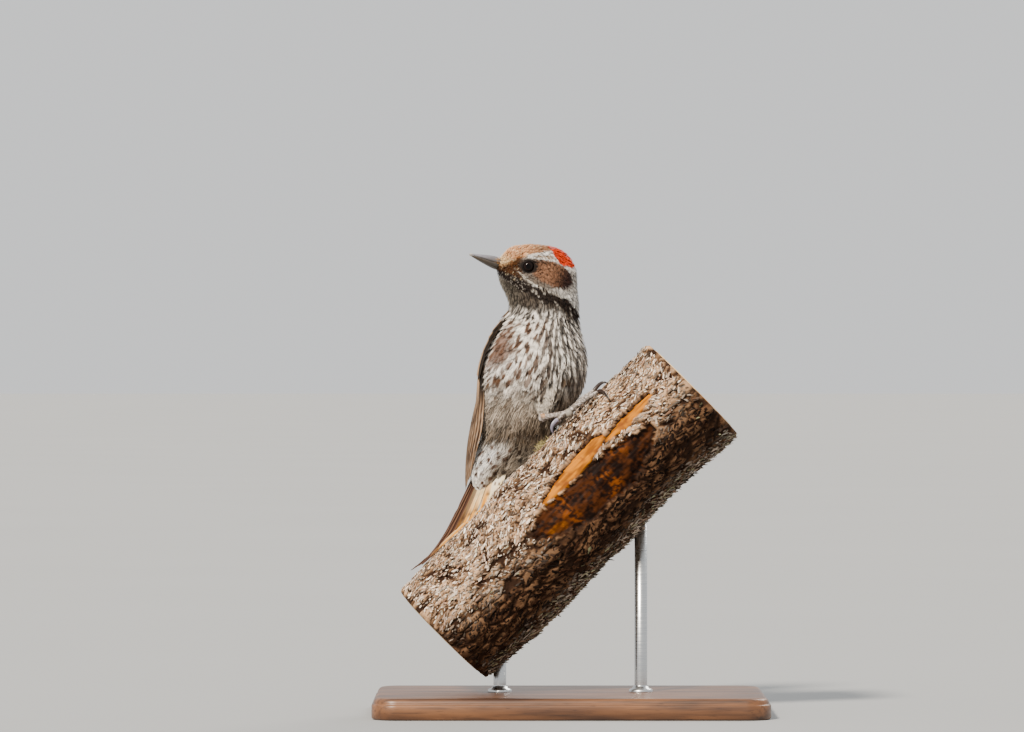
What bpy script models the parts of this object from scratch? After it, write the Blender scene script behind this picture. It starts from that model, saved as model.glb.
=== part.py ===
"""An Arizona woodpecker at life size, clinging to a cut length of pine branch on a display stand.

Metres, +Z up. The origin is under the middle of the stand's base. The breast faces -Y and a little
towards +X, and the head is turned to the bird's right, so that the bill points along -X.
"""

import math
from bisect import bisect_right

import bmesh
import bpy
from mathutils import Vector

MM = 0.001
GAP = 0.3 * MM                      # left between pieces that touch

# The perch is a round length of branch, tilted up towards +X. Places on it are given as a distance
# along it, an angle round it from its upper side towards -Y, and a height over its surface.
PERCH_MIDDLE = Vector((0.0, 0.0, 95.4 * MM))
PERCH_TILT = math.radians(45)
PERCH_RADIUS = 29.2 * MM
PERCH_LOW_END = -83.5 * MM
PERCH_HIGH_END = 80.5 * MM
PERCH_SWELLS = ((0.8 * MM, 115 * MM, 1), (0.5 * MM, 62 * MM, -2))   # height, length, turns round
PERCH_HUMP = (2.6 * MM, -15 * MM, 15 * MM, math.radians(12), 0.2)   # height, middle, length, turn, spread
PERCH_SIDES = 24
PERCH_RINGS = 15
ALONG = Vector((math.cos(PERCH_TILT), 0.0, math.sin(PERCH_TILT)))
OUT = Vector((-math.sin(PERCH_TILT), 0.0, math.cos(PERCH_TILT)))
NEAR = Vector((0.0, -1.0, 0.0))

# The stand.
BASE_SIZE = Vector((184 * MM, 112 * MM, 10 * MM))
BASE_CORNER = 12 * MM
CORNER_STEPS = 6
BASE_EDGE = 1.5 * MM
EDGE_STEPS = 2
ROD_RADIUS = 3 * MM
ROD_SIDES = 20
ROD_SINK = 6 * MM                   # how far a rod stands in the base
ROD_GRIP = 9 * MM                   # how far a rod goes into the perch
ROD_PLACES = {"lower": -33 * MM, "upper": 33 * MM}

# Level sections through the coat, from the end of the undertail coverts up to the crown:
# height, middle X, middle Y, half width, half depth, in millimetres.
BODY_END = (103.0, -41.0, 14.6)
BODY_SECTIONS = (
    (104.0, -40.9, 14.8, 3.4, 3.0),
    (107.0, -40.5, 15.5, 5.7, 5.2),
    (112.3, -38.8, 17.5, 8.9, 8.4),
    (118.4, -34.2, 20.0, 12.9, 11.9),
    (125.0, -29.6, 22.0, 16.0, 14.6),
    (132.0, -26.3, 22.5, 18.2, 16.8),
    (140.0, -23.0, 22.4, 21.0, 19.0),
    (150.0, -18.9, 21.6, 24.6, 21.6),
    (160.7, -17.0, 20.5, 25.3, 22.5),
    (169.2, -16.0, 19.5, 23.8, 21.2),
    (178.4, -14.9, 18.0, 20.3, 18.6),
    (185.7, -13.2, 16.6, 17.3, 15.8),
    (191.5, -12.3, 15.6, 16.2, 14.2),
    (199.4, -14.2, 15.0, 17.1, 13.0),
    (204.8, -15.6, 15.0, 18.5, 12.6),
    (209.5, -16.6, 15.0, 18.5, 12.2),
    (213.5, -17.0, 15.0, 16.5, 11.0),
    (216.5, -17.2, 15.0, 13.3, 9.3),
    (218.5, -18.0, 15.0, 8.5, 6.4),
)
CROWN = (219.4, -18.5, 15.0)
BODY_SIDES = 20
FLUFF_RISE = 4.6 * MM               # of the belly's left side, which spreads against the perch
FLUFF_ANGLE = math.radians(-43)     # round the body from its left side towards its back
FLUFF_SPREAD = math.radians(25)
FLUFF_HEIGHTS = ((104 * MM, 113 * MM), (126 * MM, 142 * MM))        # it grows, then fades, upwards
HALFWAY_FROM = 6.4 * MM             # sections further apart than this get a ring between them
TRUNK_TURN = math.radians(25)       # of the body's side-to-side line, from +X towards +Y
HEAD_TURN = math.radians(12)
NECK_LOW = 187 * MM                 # the neck lies between these two level cuts
NECK_HIGH = 199 * MM
HEAD_NARROWING = 0.2                # how much narrower the face is than the back of the head

EYE_RADIUS = 3.1 * MM
EYE_HEIGHT = 209.3 * MM
EYE_FORWARD = 5.2 * MM              # of the middle of the head
EYE_DEPTH_SHARE = 0.93              # of the head's half depth, where the face narrows
EYE_PROUD = 0.6 * MM                # beyond the feathers round it
BALL_SEGMENTS = (12, 8)

BILL_BASE = Vector((-35.2, 11.3, 211.2)) * MM
BILL_TIP = Vector((-47.3, 8.7, 215.1)) * MM
BILL_ROOT = 4.5 * MM                # its length inside the face, before it is cut back
BILL_DEPTH = 2.9 * MM               # half, at the base
BILL_WIDTH = 2.8 * MM               # half, at the base
BILL_TIP_DEPTH = 0.45 * MM          # half
BILL_TIP_WIDTH = 0.5 * MM           # half
BILL_TAPER = 1.25
BILL_SIDES = 8
BILL_RINGS = 7

# Each wing is a shell over the flank. Angles run round the body from the middle of the back.
WING_FREE = 146 * MM                # the wing leaves the body below this height
WING_TIP = 104 * MM
WING_TIP_SECTIONS = {               # middle X, middle Y, half width, half depth, in millimetres
    "right": (-38.0, 20.0, 11.0, 9.0),
    "left": (-44.0, 25.5, 7.8, 7.8),
}
WING_BOW = 1.6 * MM
WING_CLEARANCE = 0.5 * MM
WING_THICKNESS = 1.7 * MM
WING_EDGE_THICKNESS = 0.7 * MM
WING_FULLNESS = (0.5, 0.4)          # how fast it thickens from its edges, across and along
WING_COLUMNS = 17
WING_ROWS = 11
WING_INNER_ANGLE = 7.0              # degrees from the middle of the back
WING_LOWER_EDGE = ((104, 92), (113, 101), (132, 105), (145, 97), (160, 90), (178, 84), (190, 78))
WING_TOP = ((0, 171), (0.4, 181), (0.75, 188), (1.0, 186.5))        # share of its breadth, height
WING_END = ((0, 129), (0.3, 124), (0.55, 117), (0.85, 104), (1.0, 109))
WING_TIPS = 8                       # feather points along its end
WING_TIP_NOTCH = 3.2 * MM
WING_TIP_ROUNDNESS = 0.7
LEFT_WING_TUCK = 27.0               # degrees that the left wing is held higher

# The tail is a tent of stiff pointed feathers whose ridge runs down on to the perch.
TAIL_RIDGE = (
    (-39.5, 22.5, 122.5), (-43.8, 20.0, 113.5), (-47.8, 17.0, 105.0), (-53.2, 13.5, 94.0),
    (-58.4, 10.0, 84.0), (-65.2, 7.0, 74.6), (-74.6, 5.0, 66.8),
)
TAIL_SIDE = Vector((0.30, -0.94, 0.10))     # towards its left edge
TAIL_SLOPE = math.radians(33)
TAIL_HALF_WIDTHS = ((0, 5.0), (0.2, 8.5), (0.5, 11.5), (0.8, 11.5), (1.0, 9.0))
TAIL_FEATHERS = 10
TAIL_OUTER_SHARE = 0.66             # of the middle feathers' length
TAIL_MIDDLE_SHARE = 0.1             # of the half width, which has the full length
TAIL_FALL = 1.3                     # how late its sides fall away from the ridge
TAIL_NOTCH = 4.5 * MM
TAIL_ROWS = 13
TAIL_THICKNESS = 1.3 * MM
TAIL_TIP_THICKNESS = 0.6 * MM
TAIL_CLEARANCE = 0.6 * MM           # over the perch

# The legs. The ankle is the upper end of the scaly shank, and toe 4 points back beside toe 1.
THIGHS = {
    "right": ((-9.0, 10.0, 153.5), (-11.2, 3.6, 146.0), (-13.0, -0.4, 139.8)),
    "left": ((-10.5, 20.5, 149.5), (-5.2, 25.6, 141.0), (-0.9, 30.4, 133.8)),
}
THIGH_RADII = (7.2 * MM, 5.4 * MM, 2.9 * MM)
THIGH_SIDES = 12
ANKLES = {"right": (-13.4, -1.2, 138.4), "left": (-0.2, 31.4, 132.2)}
ANKLE_RADIUS = 2.1 * MM
SHANK_RADIUS = 1.35 * MM
INSTEP_SHARE = 0.55                 # of the way from ankle to foot, where the foot begins
FOOT_PADS = {"right": (31.5, 11.0, 3.2), "left": (44.0, -65.0, 3.4)}
PAD_RADIUS = 2.4 * MM
TOE_RADII = (1.35 * MM, 1.0 * MM)
KNUCKLE_RISE = 0.5                  # millimetres
CLAW_RADII = (0.9 * MM, 0.85 * MM, 0.7 * MM, 0.5 * MM, 0.27 * MM)
CLAW_GAP = 0.4 * MM                 # from the toe's end
CLAW_ARCH = 2.9 * MM
CLAW_LIFT = 0.3                     # of its arch, where it leaves the toe
TOES = {                            # the end of each toe, and the tip of its claw
    "right": {
        1: ((25.5, -6.0, 2.4), (20.0, -9.0, 0.5)),
        2: ((48.0, 17.5, 2.4), (49.2, 39.0, 0.5)),
        3: ((47.6, 5.5, 2.6), (54.0, 9.0, 0.5)),
        4: ((25.6, 13.0, 4.4), (19.6, 15.5, 0.8)),
    },
    "left": {
        1: ((36.0, -60.0, 2.0), (30.5, -58.0, 0.5)),
        2: ((55.0, -53.0, 2.0), (61.0, -49.0, 0.5)),
        3: ((56.5, -68.0, 2.0), (62.8, -70.0, 0.5)),
        4: ((37.5, -84.0, 2.0), (32.5, -92.0, 0.5)),
    },
}
LIMB_SIDES = 8
SHARP_ANGLE = math.radians(50)

for old in list(bpy.data.objects):
    bpy.data.objects.remove(old, do_unlink=True)


def new_collection(name):
    made = bpy.data.collections.new(name)
    bpy.context.scene.collection.children.link(made)
    return made


BIRD = new_collection("arizona_woodpecker")
CUTTERS = new_collection("cutters")


def material(name, colour, roughness, metallic=0.0):
    made = bpy.data.materials.new(name)
    made.use_nodes = True
    shader = made.node_tree.nodes["Principled BSDF"]
    shader.inputs["Base Color"].default_value = (*colour, 1.0)
    shader.inputs["Roughness"].default_value = roughness
    shader.inputs["Metallic"].default_value = metallic
    return made


BROWN_FEATHER = material("brown_feather", (0.14, 0.08, 0.045), 0.7)
PALE_FEATHER = material("pale_feather", (0.55, 0.48, 0.38), 0.75)
TAIL_FEATHER = material("tail_feather", (0.16, 0.08, 0.05), 0.6)
HORN = material("horn", (0.17, 0.15, 0.13), 0.35)
SCALY_SKIN = material("scaly_skin", (0.28, 0.27, 0.27), 0.5)
EYE_GLOSS = material("eye_gloss", (0.03, 0.015, 0.01), 0.08)
BARK = material("pine_bark", (0.30, 0.20, 0.13), 0.9)
STAND_WOOD = material("stand_wood", (0.10, 0.05, 0.025), 0.4)
STAND_STEEL = material("stand_steel", (0.55, 0.55, 0.55), 0.3, 1.0)


# ---- helpers ----

def read_curve(rows, at):
    """The values that go with at, on a smooth curve through rows sorted by their first value."""
    keys = [row[0] for row in rows]
    first = min(max(bisect_right(keys, at) - 1, 0), len(rows) - 2)
    before, low, high, after = (rows[min(max(first + k, 0), len(rows) - 1)] for k in (-1, 0, 1, 2))
    span = high[0] - low[0]
    share = min(max((at - low[0]) / span, 0.0), 1.0)
    values = []
    for k in range(1, len(low)):
        leave = (high[k] - before[k]) / (high[0] - before[0]) * span
        reach = (after[k] - low[k]) / (after[0] - low[0]) * span
        rise = high[k] - low[k]
        values.append(low[k] + share * (leave + share * (
            3 * rise - 2 * leave - reach + share * (leave + reach - 2 * rise))))
    return values


def ease(value, start, end):
    share = min(max((value - start) / (end - start), 0.0), 1.0)
    return share * share * (3 - 2 * share)


def add_object(name, mesh, finish, collection=BIRD):
    """Turns a bmesh into a named object with its faces pointing out."""
    bmesh.ops.recalc_face_normals(mesh, faces=mesh.faces)
    data = bpy.data.meshes.new(name)
    mesh.to_mesh(data)
    mesh.free()
    data.materials.append(finish)
    data.shade_smooth()
    data.set_sharp_from_angle(angle=SHARP_ANGLE)
    made = bpy.data.objects.new(name, data)
    collection.objects.link(made)
    return made


def add_loft(name, rings, finish, collection=BIRD, start=None, end=None):
    """A closed body through rings of points. An end is flat unless it has a point of its own."""
    mesh = bmesh.new()
    rows = [[mesh.verts.new(point) for point in ring] for ring in rings]
    sides = len(rows[0])
    for low, high in zip(rows, rows[1:]):
        for k in range(sides):
            after = (k + 1) % sides
            mesh.faces.new((low[k], low[after], high[after], high[k]))
    for row, point in ((rows[0], start), (rows[-1], end)):
        if point is None:
            mesh.faces.new(row)
            continue
        tip = mesh.verts.new(point)
        for k in range(sides):
            mesh.faces.new((row[k], row[(k + 1) % sides], tip))
    return add_object(name, mesh, finish, collection)


def add_shell(name, outer, inner, finish):
    """A thin closed body between two grids of points, joined round their rims."""
    mesh = bmesh.new()
    grids = [[[mesh.verts.new(point) for point in row] for row in grid] for grid in (outer, inner)]
    rows, columns = len(outer), len(outer[0])
    for grid in grids:
        for i in range(rows - 1):
            for j in range(columns - 1):
                mesh.faces.new((grid[i][j], grid[i][j + 1], grid[i + 1][j + 1], grid[i + 1][j]))
    rim = [(0, j) for j in range(columns - 1)]
    rim += [(i, columns - 1) for i in range(rows - 1)]
    rim += [(rows - 1, j) for j in range(columns - 1, 0, -1)]
    rim += [(i, 0) for i in range(rows - 1, 0, -1)]
    for (a, b), (c, d) in zip(rim, rim[1:] + rim[:1]):
        mesh.faces.new((grids[0][a][b], grids[0][c][d], grids[1][c][d], grids[1][a][b]))
    return add_object(name, mesh, finish)


def tube_rings(path, radii, sides=LIMB_SIDES, first=None):
    """Rings square to a path, each with its own radius. The first may face its own way."""
    rings = []
    for k, (point, radius) in enumerate(zip(path, radii)):
        along = (path[min(k + 1, len(path) - 1)] - path[max(k - 1, 0)]).normalized()
        along = first if first and k == 0 else along
        across = along.cross(Vector((0, 1, 0))).normalized()
        other = along.cross(across)
        turns = [2 * math.pi * n / sides for n in range(sides)]
        rings.append([point + radius * (across * math.cos(t) + other * math.sin(t)) for t in turns])
    return rings


def add_ball(name, centre, radius, finish, collection=BIRD):
    mesh = bmesh.new()
    around, up = BALL_SEGMENTS
    bmesh.ops.create_uvsphere(mesh, u_segments=around, v_segments=up, radius=radius)
    made = add_object(name, mesh, finish, collection)
    made.location = centre
    return made


def add_cylinder(name, x, low, high, radius, finish, collection=BIRD):
    mesh = bmesh.new()
    bmesh.ops.create_cone(
        mesh, cap_ends=True, segments=ROD_SIDES, radius1=radius, radius2=radius, depth=high - low)
    made = add_object(name, mesh, finish, collection)
    made.location = (x, 0.0, (low + high) / 2)
    return made


def boolean(target, other, operation):
    """Cuts other from target, or joins it on. The other object is only a tool."""
    other.hide_render = True
    other.display_type = "WIRE"
    step = target.modifiers.new(other.name, "BOOLEAN")
    step.operation = operation
    step.solver = "EXACT"
    step.object = other


# ---- perch and stand ----

def perch_radius(along, angle):
    swells = (h * math.sin(2 * math.pi * along / length + turns * angle)
              for h, length, turns in PERCH_SWELLS)
    height, middle, length, turn, spread = PERCH_HUMP
    hump = height * math.exp(-((along - middle) / length) ** 2 + (math.cos(angle - turn) - 1) / spread)
    return PERCH_RADIUS + sum(swells) + hump


def perch_point(along, angle, height=0.0):
    away = OUT * math.cos(angle) + NEAR * math.sin(angle)
    return PERCH_MIDDLE + ALONG * along + away * (perch_radius(along, angle) + height)


def on_perch(place):
    """A place on the perch as millimetres along it, degrees round it and millimetres over it."""
    along, angle, height = place
    return perch_point(along * MM, math.radians(angle), height * MM)


def lift_off_perch(point, clearance):
    """Moves a point straight out of the perch until it clears the surface."""
    offset = point - PERCH_MIDDLE
    along = offset.dot(ALONG)
    out, near = offset.dot(OUT), offset.dot(NEAR)
    angle = math.atan2(near, out)
    height = max(math.hypot(out, near) - perch_radius(along, angle), clearance)
    return perch_point(along, angle, height)


def perch_rings():
    rings = []
    for k in range(PERCH_RINGS):
        along = PERCH_LOW_END + (PERCH_HIGH_END - PERCH_LOW_END) * k / (PERCH_RINGS - 1)
        turns = [2 * math.pi * n / PERCH_SIDES for n in range(PERCH_SIDES)]
        rings.append([perch_point(along, turn) for turn in turns])
    return rings


def add_perch_and_stand():
    perch = add_loft("perch", perch_rings(), BARK)
    mesh = bmesh.new()
    bmesh.ops.create_cube(mesh, size=1.0)
    bmesh.ops.scale(mesh, vec=BASE_SIZE, verts=mesh.verts)
    upright = [e for e in mesh.edges if abs(e.verts[0].co.z - e.verts[1].co.z) > BASE_SIZE.z / 2]
    bmesh.ops.bevel(
        mesh, geom=upright, offset=BASE_CORNER, segments=CORNER_STEPS, profile=0.5, affect="EDGES")
    rim = [e for e in mesh.edges if min(v.co.z for v in e.verts) > BASE_SIZE.z / 2 - GAP]
    bmesh.ops.bevel(mesh, geom=rim, offset=BASE_EDGE, segments=EDGE_STEPS, profile=0.5, affect="EDGES")
    bmesh.ops.translate(mesh, vec=(0, 0, BASE_SIZE.z / 2), verts=mesh.verts)
    base = add_object("stand_base", mesh, STAND_WOOD)
    for name, x in ROD_PLACES.items():
        foot = BASE_SIZE.z - ROD_SINK
        underside = PERCH_MIDDLE.z + x * math.tan(PERCH_TILT) - PERCH_RADIUS / math.cos(PERCH_TILT)
        head = underside + ROD_GRIP
        add_cylinder(f"stand_rod_{name}", x, foot, head, ROD_RADIUS, STAND_STEEL)
        hole = add_cylinder(
            f"hole_{name}", x, foot - GAP, head + GAP, ROD_RADIUS + GAP, STAND_STEEL, CUTTERS)
        boolean(perch, hole, "DIFFERENCE")
        boolean(base, hole, "DIFFERENCE")


# ---- head, neck and trunk ----

def body_frame(height):
    """The directions across the body and towards its back, at a height."""
    turn = TRUNK_TURN + (HEAD_TURN - TRUNK_TURN) * ease(height, NECK_LOW, NECK_HIGH)
    across = Vector((math.cos(turn), math.sin(turn), 0.0))
    return across, Vector((-across.y, across.x, 0.0))


def body_section(height):
    """The section's middle, half width and half depth at a height."""
    x, y, width, depth = read_curve(BODY_SECTIONS, height / MM)
    return Vector((x * MM, y * MM, height)), width * MM, depth * MM


def belly_fluff(height, turn):
    """How far the belly stands out on the side that leans on the perch."""
    grows, fades = FLUFF_HEIGHTS
    share = ease(height, *grows) * (1 - ease(height, *fades))
    away = (turn - FLUFF_ANGLE + math.pi) % (2 * math.pi) - math.pi
    return FLUFF_RISE * share * math.exp(-(away / FLUFF_SPREAD) ** 2)


def body_ring(height, grow=0.0):
    middle, width, depth = body_section(height)
    across, back = body_frame(height)
    narrowing = HEAD_NARROWING * ease(height, NECK_HIGH, EYE_HEIGHT)
    ring = []
    for k in range(BODY_SIDES):
        turn = 2 * math.pi * k / BODY_SIDES
        face = 1 + narrowing * (math.cos(turn) - abs(math.cos(turn))) / 2
        more = grow + belly_fluff(height, turn)
        ring.append(middle + across * (width + more) * math.cos(turn)
                    + back * (depth + more) * face * math.sin(turn))
    return ring


def body_heights():
    """A height at each section and one halfway where two sections are far apart."""
    heights = [row[0] * MM for row in BODY_SECTIONS]
    halfway = [(a + b) / 2 for a, b in zip(heights, heights[1:]) if b - a > HALFWAY_FROM]
    return sorted(heights + halfway)


def add_body_piece(name, low, high, finish, collection=BIRD, grow=0.0):
    """The part of the body between two level cuts, or out to a point where a cut is None."""
    rings = [h for h in body_heights()
             if (low is None or h > low + MM) and (high is None or h < high - MM)]
    rings = ([] if low is None else [low]) + rings + ([] if high is None else [high])
    start = Vector((*BODY_END[1:], BODY_END[0])) * MM - Vector((0, 0, grow)) if low is None else None
    end = Vector((*CROWN[1:], CROWN[0])) * MM + Vector((0, 0, grow)) if high is None else None
    return add_loft(name, [body_ring(h, grow) for h in rings], finish, collection, start, end)


def head_place(forward, side, height):
    """A point measured from the middle of the head: side is + for the bird's right."""
    middle, _, _ = body_section(height)
    across, back = body_frame(height)
    return middle - across * forward + back * side


def add_bill_half(name, up):
    """One half of the closed bill, which narrows to a chisel tip."""
    line = BILL_TIP - BILL_BASE
    forward = line.normalized()
    side = forward.cross(Vector((0, 0, 1))).normalized()
    rise = side.cross(forward) * up
    rings = []
    for k in range(BILL_RINGS + 1):
        share = (k - 1) / (BILL_RINGS - 1)
        middle = BILL_BASE + line * share if k else BILL_BASE - forward * BILL_ROOT
        taper = max(1 - max(share, 0.0) ** BILL_TAPER, 0.0)
        depth = BILL_TIP_DEPTH + (BILL_DEPTH - BILL_TIP_DEPTH) * taper
        width = BILL_TIP_WIDTH + (BILL_WIDTH - BILL_TIP_WIDTH) * taper
        ring = []
        for n in range(BILL_SIDES + 1):
            turn = math.pi * n / BILL_SIDES
            ring.append(middle + side * width * math.cos(turn)
                        + rise * (depth * math.sin(turn) + GAP / 2))
        rings.append(ring)
    return add_loft(name, rings, HORN)


def add_head_neck_trunk():
    head = add_body_piece("head", NECK_HIGH + GAP / 2, None, BROWN_FEATHER)
    add_body_piece("neck", NECK_LOW + GAP / 2, NECK_HIGH - GAP / 2, PALE_FEATHER)
    add_body_piece("trunk", None, NECK_LOW - GAP / 2, PALE_FEATHER)
    _, _, half_depth = body_section(EYE_HEIGHT)
    for name, side in (("eye_left", -1), ("eye_right", 1)):
        out = half_depth * EYE_DEPTH_SHARE + EYE_PROUD - EYE_RADIUS
        centre = head_place(EYE_FORWARD, side * out, EYE_HEIGHT)
        add_ball(name, centre, EYE_RADIUS, EYE_GLOSS)
        socket = add_ball(f"socket_{name}", centre, EYE_RADIUS + GAP, EYE_GLOSS, CUTTERS)
        boolean(head, socket, "DIFFERENCE")
    face = add_body_piece("face_cutter", NECK_HIGH, None, BROWN_FEATHER, CUTTERS, grow=GAP)
    for name, up in (("bill_upper", 1), ("bill_lower", -1)):
        boolean(add_bill_half(name, up), face, "DIFFERENCE")


# ---- wings ----

def wing_section(height, tip):
    """The wing follows the body, then bows away from it down to its tip section."""
    if height >= WING_FREE:
        middle, width, depth = body_section(height)
        return middle, width, depth
    middle, width, depth = body_section(WING_FREE)
    share = (WING_FREE - height) / (WING_FREE - WING_TIP)
    x, y, tip_width, tip_depth = (size * MM for size in tip)
    bow = WING_BOW * math.sin(math.pi * share)
    return (Vector((middle.x + (x - middle.x) * share, middle.y + (y - middle.y) * share, height)),
            width + (tip_width - width) * share + bow, depth + (tip_depth - depth) * share + bow)


def wing_point(tip, side, height, angle, rise):
    middle, width, depth = wing_section(height, tip)
    across, back = body_frame(height)
    return (middle + across * side * (width + rise) * math.sin(angle)
            + back * (depth + rise) * math.cos(angle))


def add_wing(name, side, tuck):
    tip = WING_TIP_SECTIONS[name]
    outer, inner = [], []
    for j in range(WING_COLUMNS):
        share = j / (WING_COLUMNS - 1)
        top = read_curve(WING_TOP, share)[0] * MM
        notch = abs(math.sin(math.pi * WING_TIPS * share)) ** WING_TIP_ROUNDNESS
        end = read_curve(WING_END, share)[0] * MM + WING_TIP_NOTCH * (1 - notch)
        rows = [[], []]
        for i in range(WING_ROWS):
            along = i / (WING_ROWS - 1)
            height = top + (end - top) * along
            edge = read_curve(WING_LOWER_EDGE, height / MM)[0] - tuck
            angle = math.radians(WING_INNER_ANGLE + (edge - WING_INNER_ANGLE) * share)
            fullness = (math.sin(math.pi * share) ** WING_FULLNESS[0]
                        * math.sin(math.pi * along) ** WING_FULLNESS[1])
            thick = WING_EDGE_THICKNESS + (WING_THICKNESS - WING_EDGE_THICKNESS) * fullness
            rows[0].append(wing_point(tip, side, height, angle, WING_CLEARANCE + thick))
            rows[1].append(wing_point(tip, side, height, angle, WING_CLEARANCE))
        outer.append(rows[0])
        inner.append(rows[1])
    add_shell(f"wing_{name}", outer, inner, BROWN_FEATHER)


# ---- tail ----

def add_tail():
    ridge = [Vector(point) * MM for point in TAIL_RIDGE]
    steps = [0.0]
    for a, b in zip(ridge, ridge[1:]):
        steps.append(steps[-1] + (b - a).length)
    line = [(step, *point) for step, point in zip(steps, ridge)]
    side = TAIL_SIDE.normalized()
    columns = TAIL_FEATHERS * 2
    outer, inner = [], []
    for j in range(columns + 1):
        lateral = 2 * j / columns - 1
        middle_of_feather = j % 2 == 1
        shorter = (1 - TAIL_OUTER_SHARE) * max(abs(lateral) - TAIL_MIDDLE_SHARE, 0.0)
        length = steps[-1] * (1 - shorter)
        if not middle_of_feather:
            length -= TAIL_NOTCH
        rows = [[], []]
        for i in range(TAIL_ROWS):
            share = i / (TAIL_ROWS - 1)
            at = length * share
            middle = Vector(read_curve(line, at))
            ahead = Vector(read_curve(line, min(at + MM, steps[-1])))
            behind = Vector(read_curve(line, max(at - MM, 0.0)))
            up = side.cross(behind - ahead).normalized()
            up = -up if up.x > 0 else up
            reach = read_curve(TAIL_HALF_WIDTHS, at / steps[-1])[0] * MM
            drop = math.sin(TAIL_SLOPE) * abs(lateral) ** TAIL_FALL
            point = middle + (side * lateral * math.cos(TAIL_SLOPE) - up * drop) * reach
            thick = TAIL_THICKNESS + (TAIL_TIP_THICKNESS - TAIL_THICKNESS) * share
            under = lift_off_perch(point - up * thick, TAIL_CLEARANCE)
            rows[0].append(under + up * thick)
            rows[1].append(under)
        outer.append(rows[0])
        inner.append(rows[1])
    add_shell("tail", outer, inner, TAIL_FEATHER)
    rump = add_body_piece("rump_cutter", None, NECK_LOW, PALE_FEATHER, CUTTERS, grow=GAP)
    boolean(bpy.data.objects["tail"], rump, "DIFFERENCE")
    return rump


# ---- legs and feet ----

def toe_path(pad, end):
    """From the foot's pad to the toe's end, over a knuckle halfway."""
    along, angle, height = ((a + b) / 2 for a, b in zip(pad, end))
    knuckle = (along, angle, height + KNUCKLE_RISE)
    return [on_perch(place) for place in (pad, knuckle, end)]


def claw_rings(toe, tip):
    """A hooked claw that leaves the toe in line with it and arches over to its tip."""
    forward = (toe[-1] - toe[-2]).normalized()
    start = toe[-1] + forward * CLAW_GAP
    finish = on_perch(tip)
    out = (finish - PERCH_MIDDLE - ALONG * (finish - PERCH_MIDDLE).dot(ALONG)).normalized()
    leave = start + (forward + out * CLAW_LIFT) * CLAW_ARCH
    reach = finish + out * CLAW_ARCH
    path = []
    for k in range(len(CLAW_RADII)):
        t = k / (len(CLAW_RADII) - 1)
        path.append(start * (1 - t) ** 3 + leave * 3 * t * (1 - t) ** 2
                    + reach * 3 * t * t * (1 - t) + finish * t ** 3)
    return tube_rings(path, CLAW_RADII, first=forward)


def add_leg(side, trunk_cutter):
    thigh_path = [Vector(point) * MM for point in THIGHS[side]]
    rings = tube_rings(thigh_path, THIGH_RADII, THIGH_SIDES)
    thigh = add_loft(f"thigh_{side}", rings, PALE_FEATHER)
    boolean(thigh, trunk_cutter, "DIFFERENCE")

    ankle, pad = Vector(ANKLES[side]) * MM, FOOT_PADS[side]
    sole = on_perch(pad)
    instep = ankle.lerp(sole, INSTEP_SHARE)
    half_gap = (sole - ankle).normalized() * GAP / 2
    radii = (SHANK_RADIUS,) * 2
    shank = add_loft(f"shank_{side}", tube_rings([ankle, instep - half_gap], radii), SCALY_SKIN)
    boolean(shank, add_ball(f"ankle_{side}", ankle, ANKLE_RADIUS, SCALY_SKIN, CUTTERS), "UNION")
    bone = tube_rings([ankle, instep], (SHANK_RADIUS + GAP,) * 2)
    for cutter in (
        add_ball(f"ankle_cutter_{side}", ankle, ANKLE_RADIUS + GAP, SCALY_SKIN, CUTTERS),
        add_loft(f"shank_cutter_{side}", bone, SCALY_SKIN, CUTTERS),
    ):
        boolean(thigh, cutter, "DIFFERENCE")

    foot = add_ball(f"foot_{side}", sole, PAD_RADIUS, SCALY_SKIN)
    rings = tube_rings([instep + half_gap, sole], radii)
    boolean(foot, add_loft(f"instep_{side}", rings, SCALY_SKIN, CUTTERS), "UNION")
    middle_radius = sum(TOE_RADII) / 2
    for number, (end, tip) in TOES[side].items():
        path = toe_path(pad, end)
        rings = tube_rings(path, (TOE_RADII[0], middle_radius, TOE_RADII[1]))
        boolean(foot, add_loft(f"toe_{side}_{number}", rings, SCALY_SKIN, CUTTERS), "UNION")
        add_loft(f"claw_{side}_{number}", claw_rings(path, tip), HORN)


add_perch_and_stand()
add_head_neck_trunk()
add_wing("right", -1, 0.0)
add_wing("left", 1, LEFT_WING_TUCK)
body_cutter = add_tail()
for leg in THIGHS:
    add_leg(leg, body_cutter)
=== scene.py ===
"""The looks of the Arizona woodpecker model: skin, plumage, horn, bark and stand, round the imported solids.

Everything here is in millimetres until a mesh is made. The breast faces -Y, and the head is turned so
that the bill points along -X.
"""

import math

import bpy
import numpy as np
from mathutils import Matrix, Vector, noise
from mathutils.bvhtree import BVHTree


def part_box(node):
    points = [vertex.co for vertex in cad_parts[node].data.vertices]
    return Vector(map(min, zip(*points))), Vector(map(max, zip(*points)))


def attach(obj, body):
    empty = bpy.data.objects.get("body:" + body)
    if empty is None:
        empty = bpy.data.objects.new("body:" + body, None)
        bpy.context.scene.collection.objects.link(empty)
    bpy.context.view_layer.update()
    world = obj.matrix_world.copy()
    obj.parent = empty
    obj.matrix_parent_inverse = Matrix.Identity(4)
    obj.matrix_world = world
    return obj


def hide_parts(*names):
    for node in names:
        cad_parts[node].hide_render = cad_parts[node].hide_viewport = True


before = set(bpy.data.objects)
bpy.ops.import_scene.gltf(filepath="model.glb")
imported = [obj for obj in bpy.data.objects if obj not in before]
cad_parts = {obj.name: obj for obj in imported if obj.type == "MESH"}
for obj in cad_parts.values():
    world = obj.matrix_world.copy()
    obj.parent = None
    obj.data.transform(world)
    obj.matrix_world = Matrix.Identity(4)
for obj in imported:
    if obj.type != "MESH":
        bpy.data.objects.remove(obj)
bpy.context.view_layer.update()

MM = 0.001

# ---- the shapes that the solids follow ----

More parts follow.
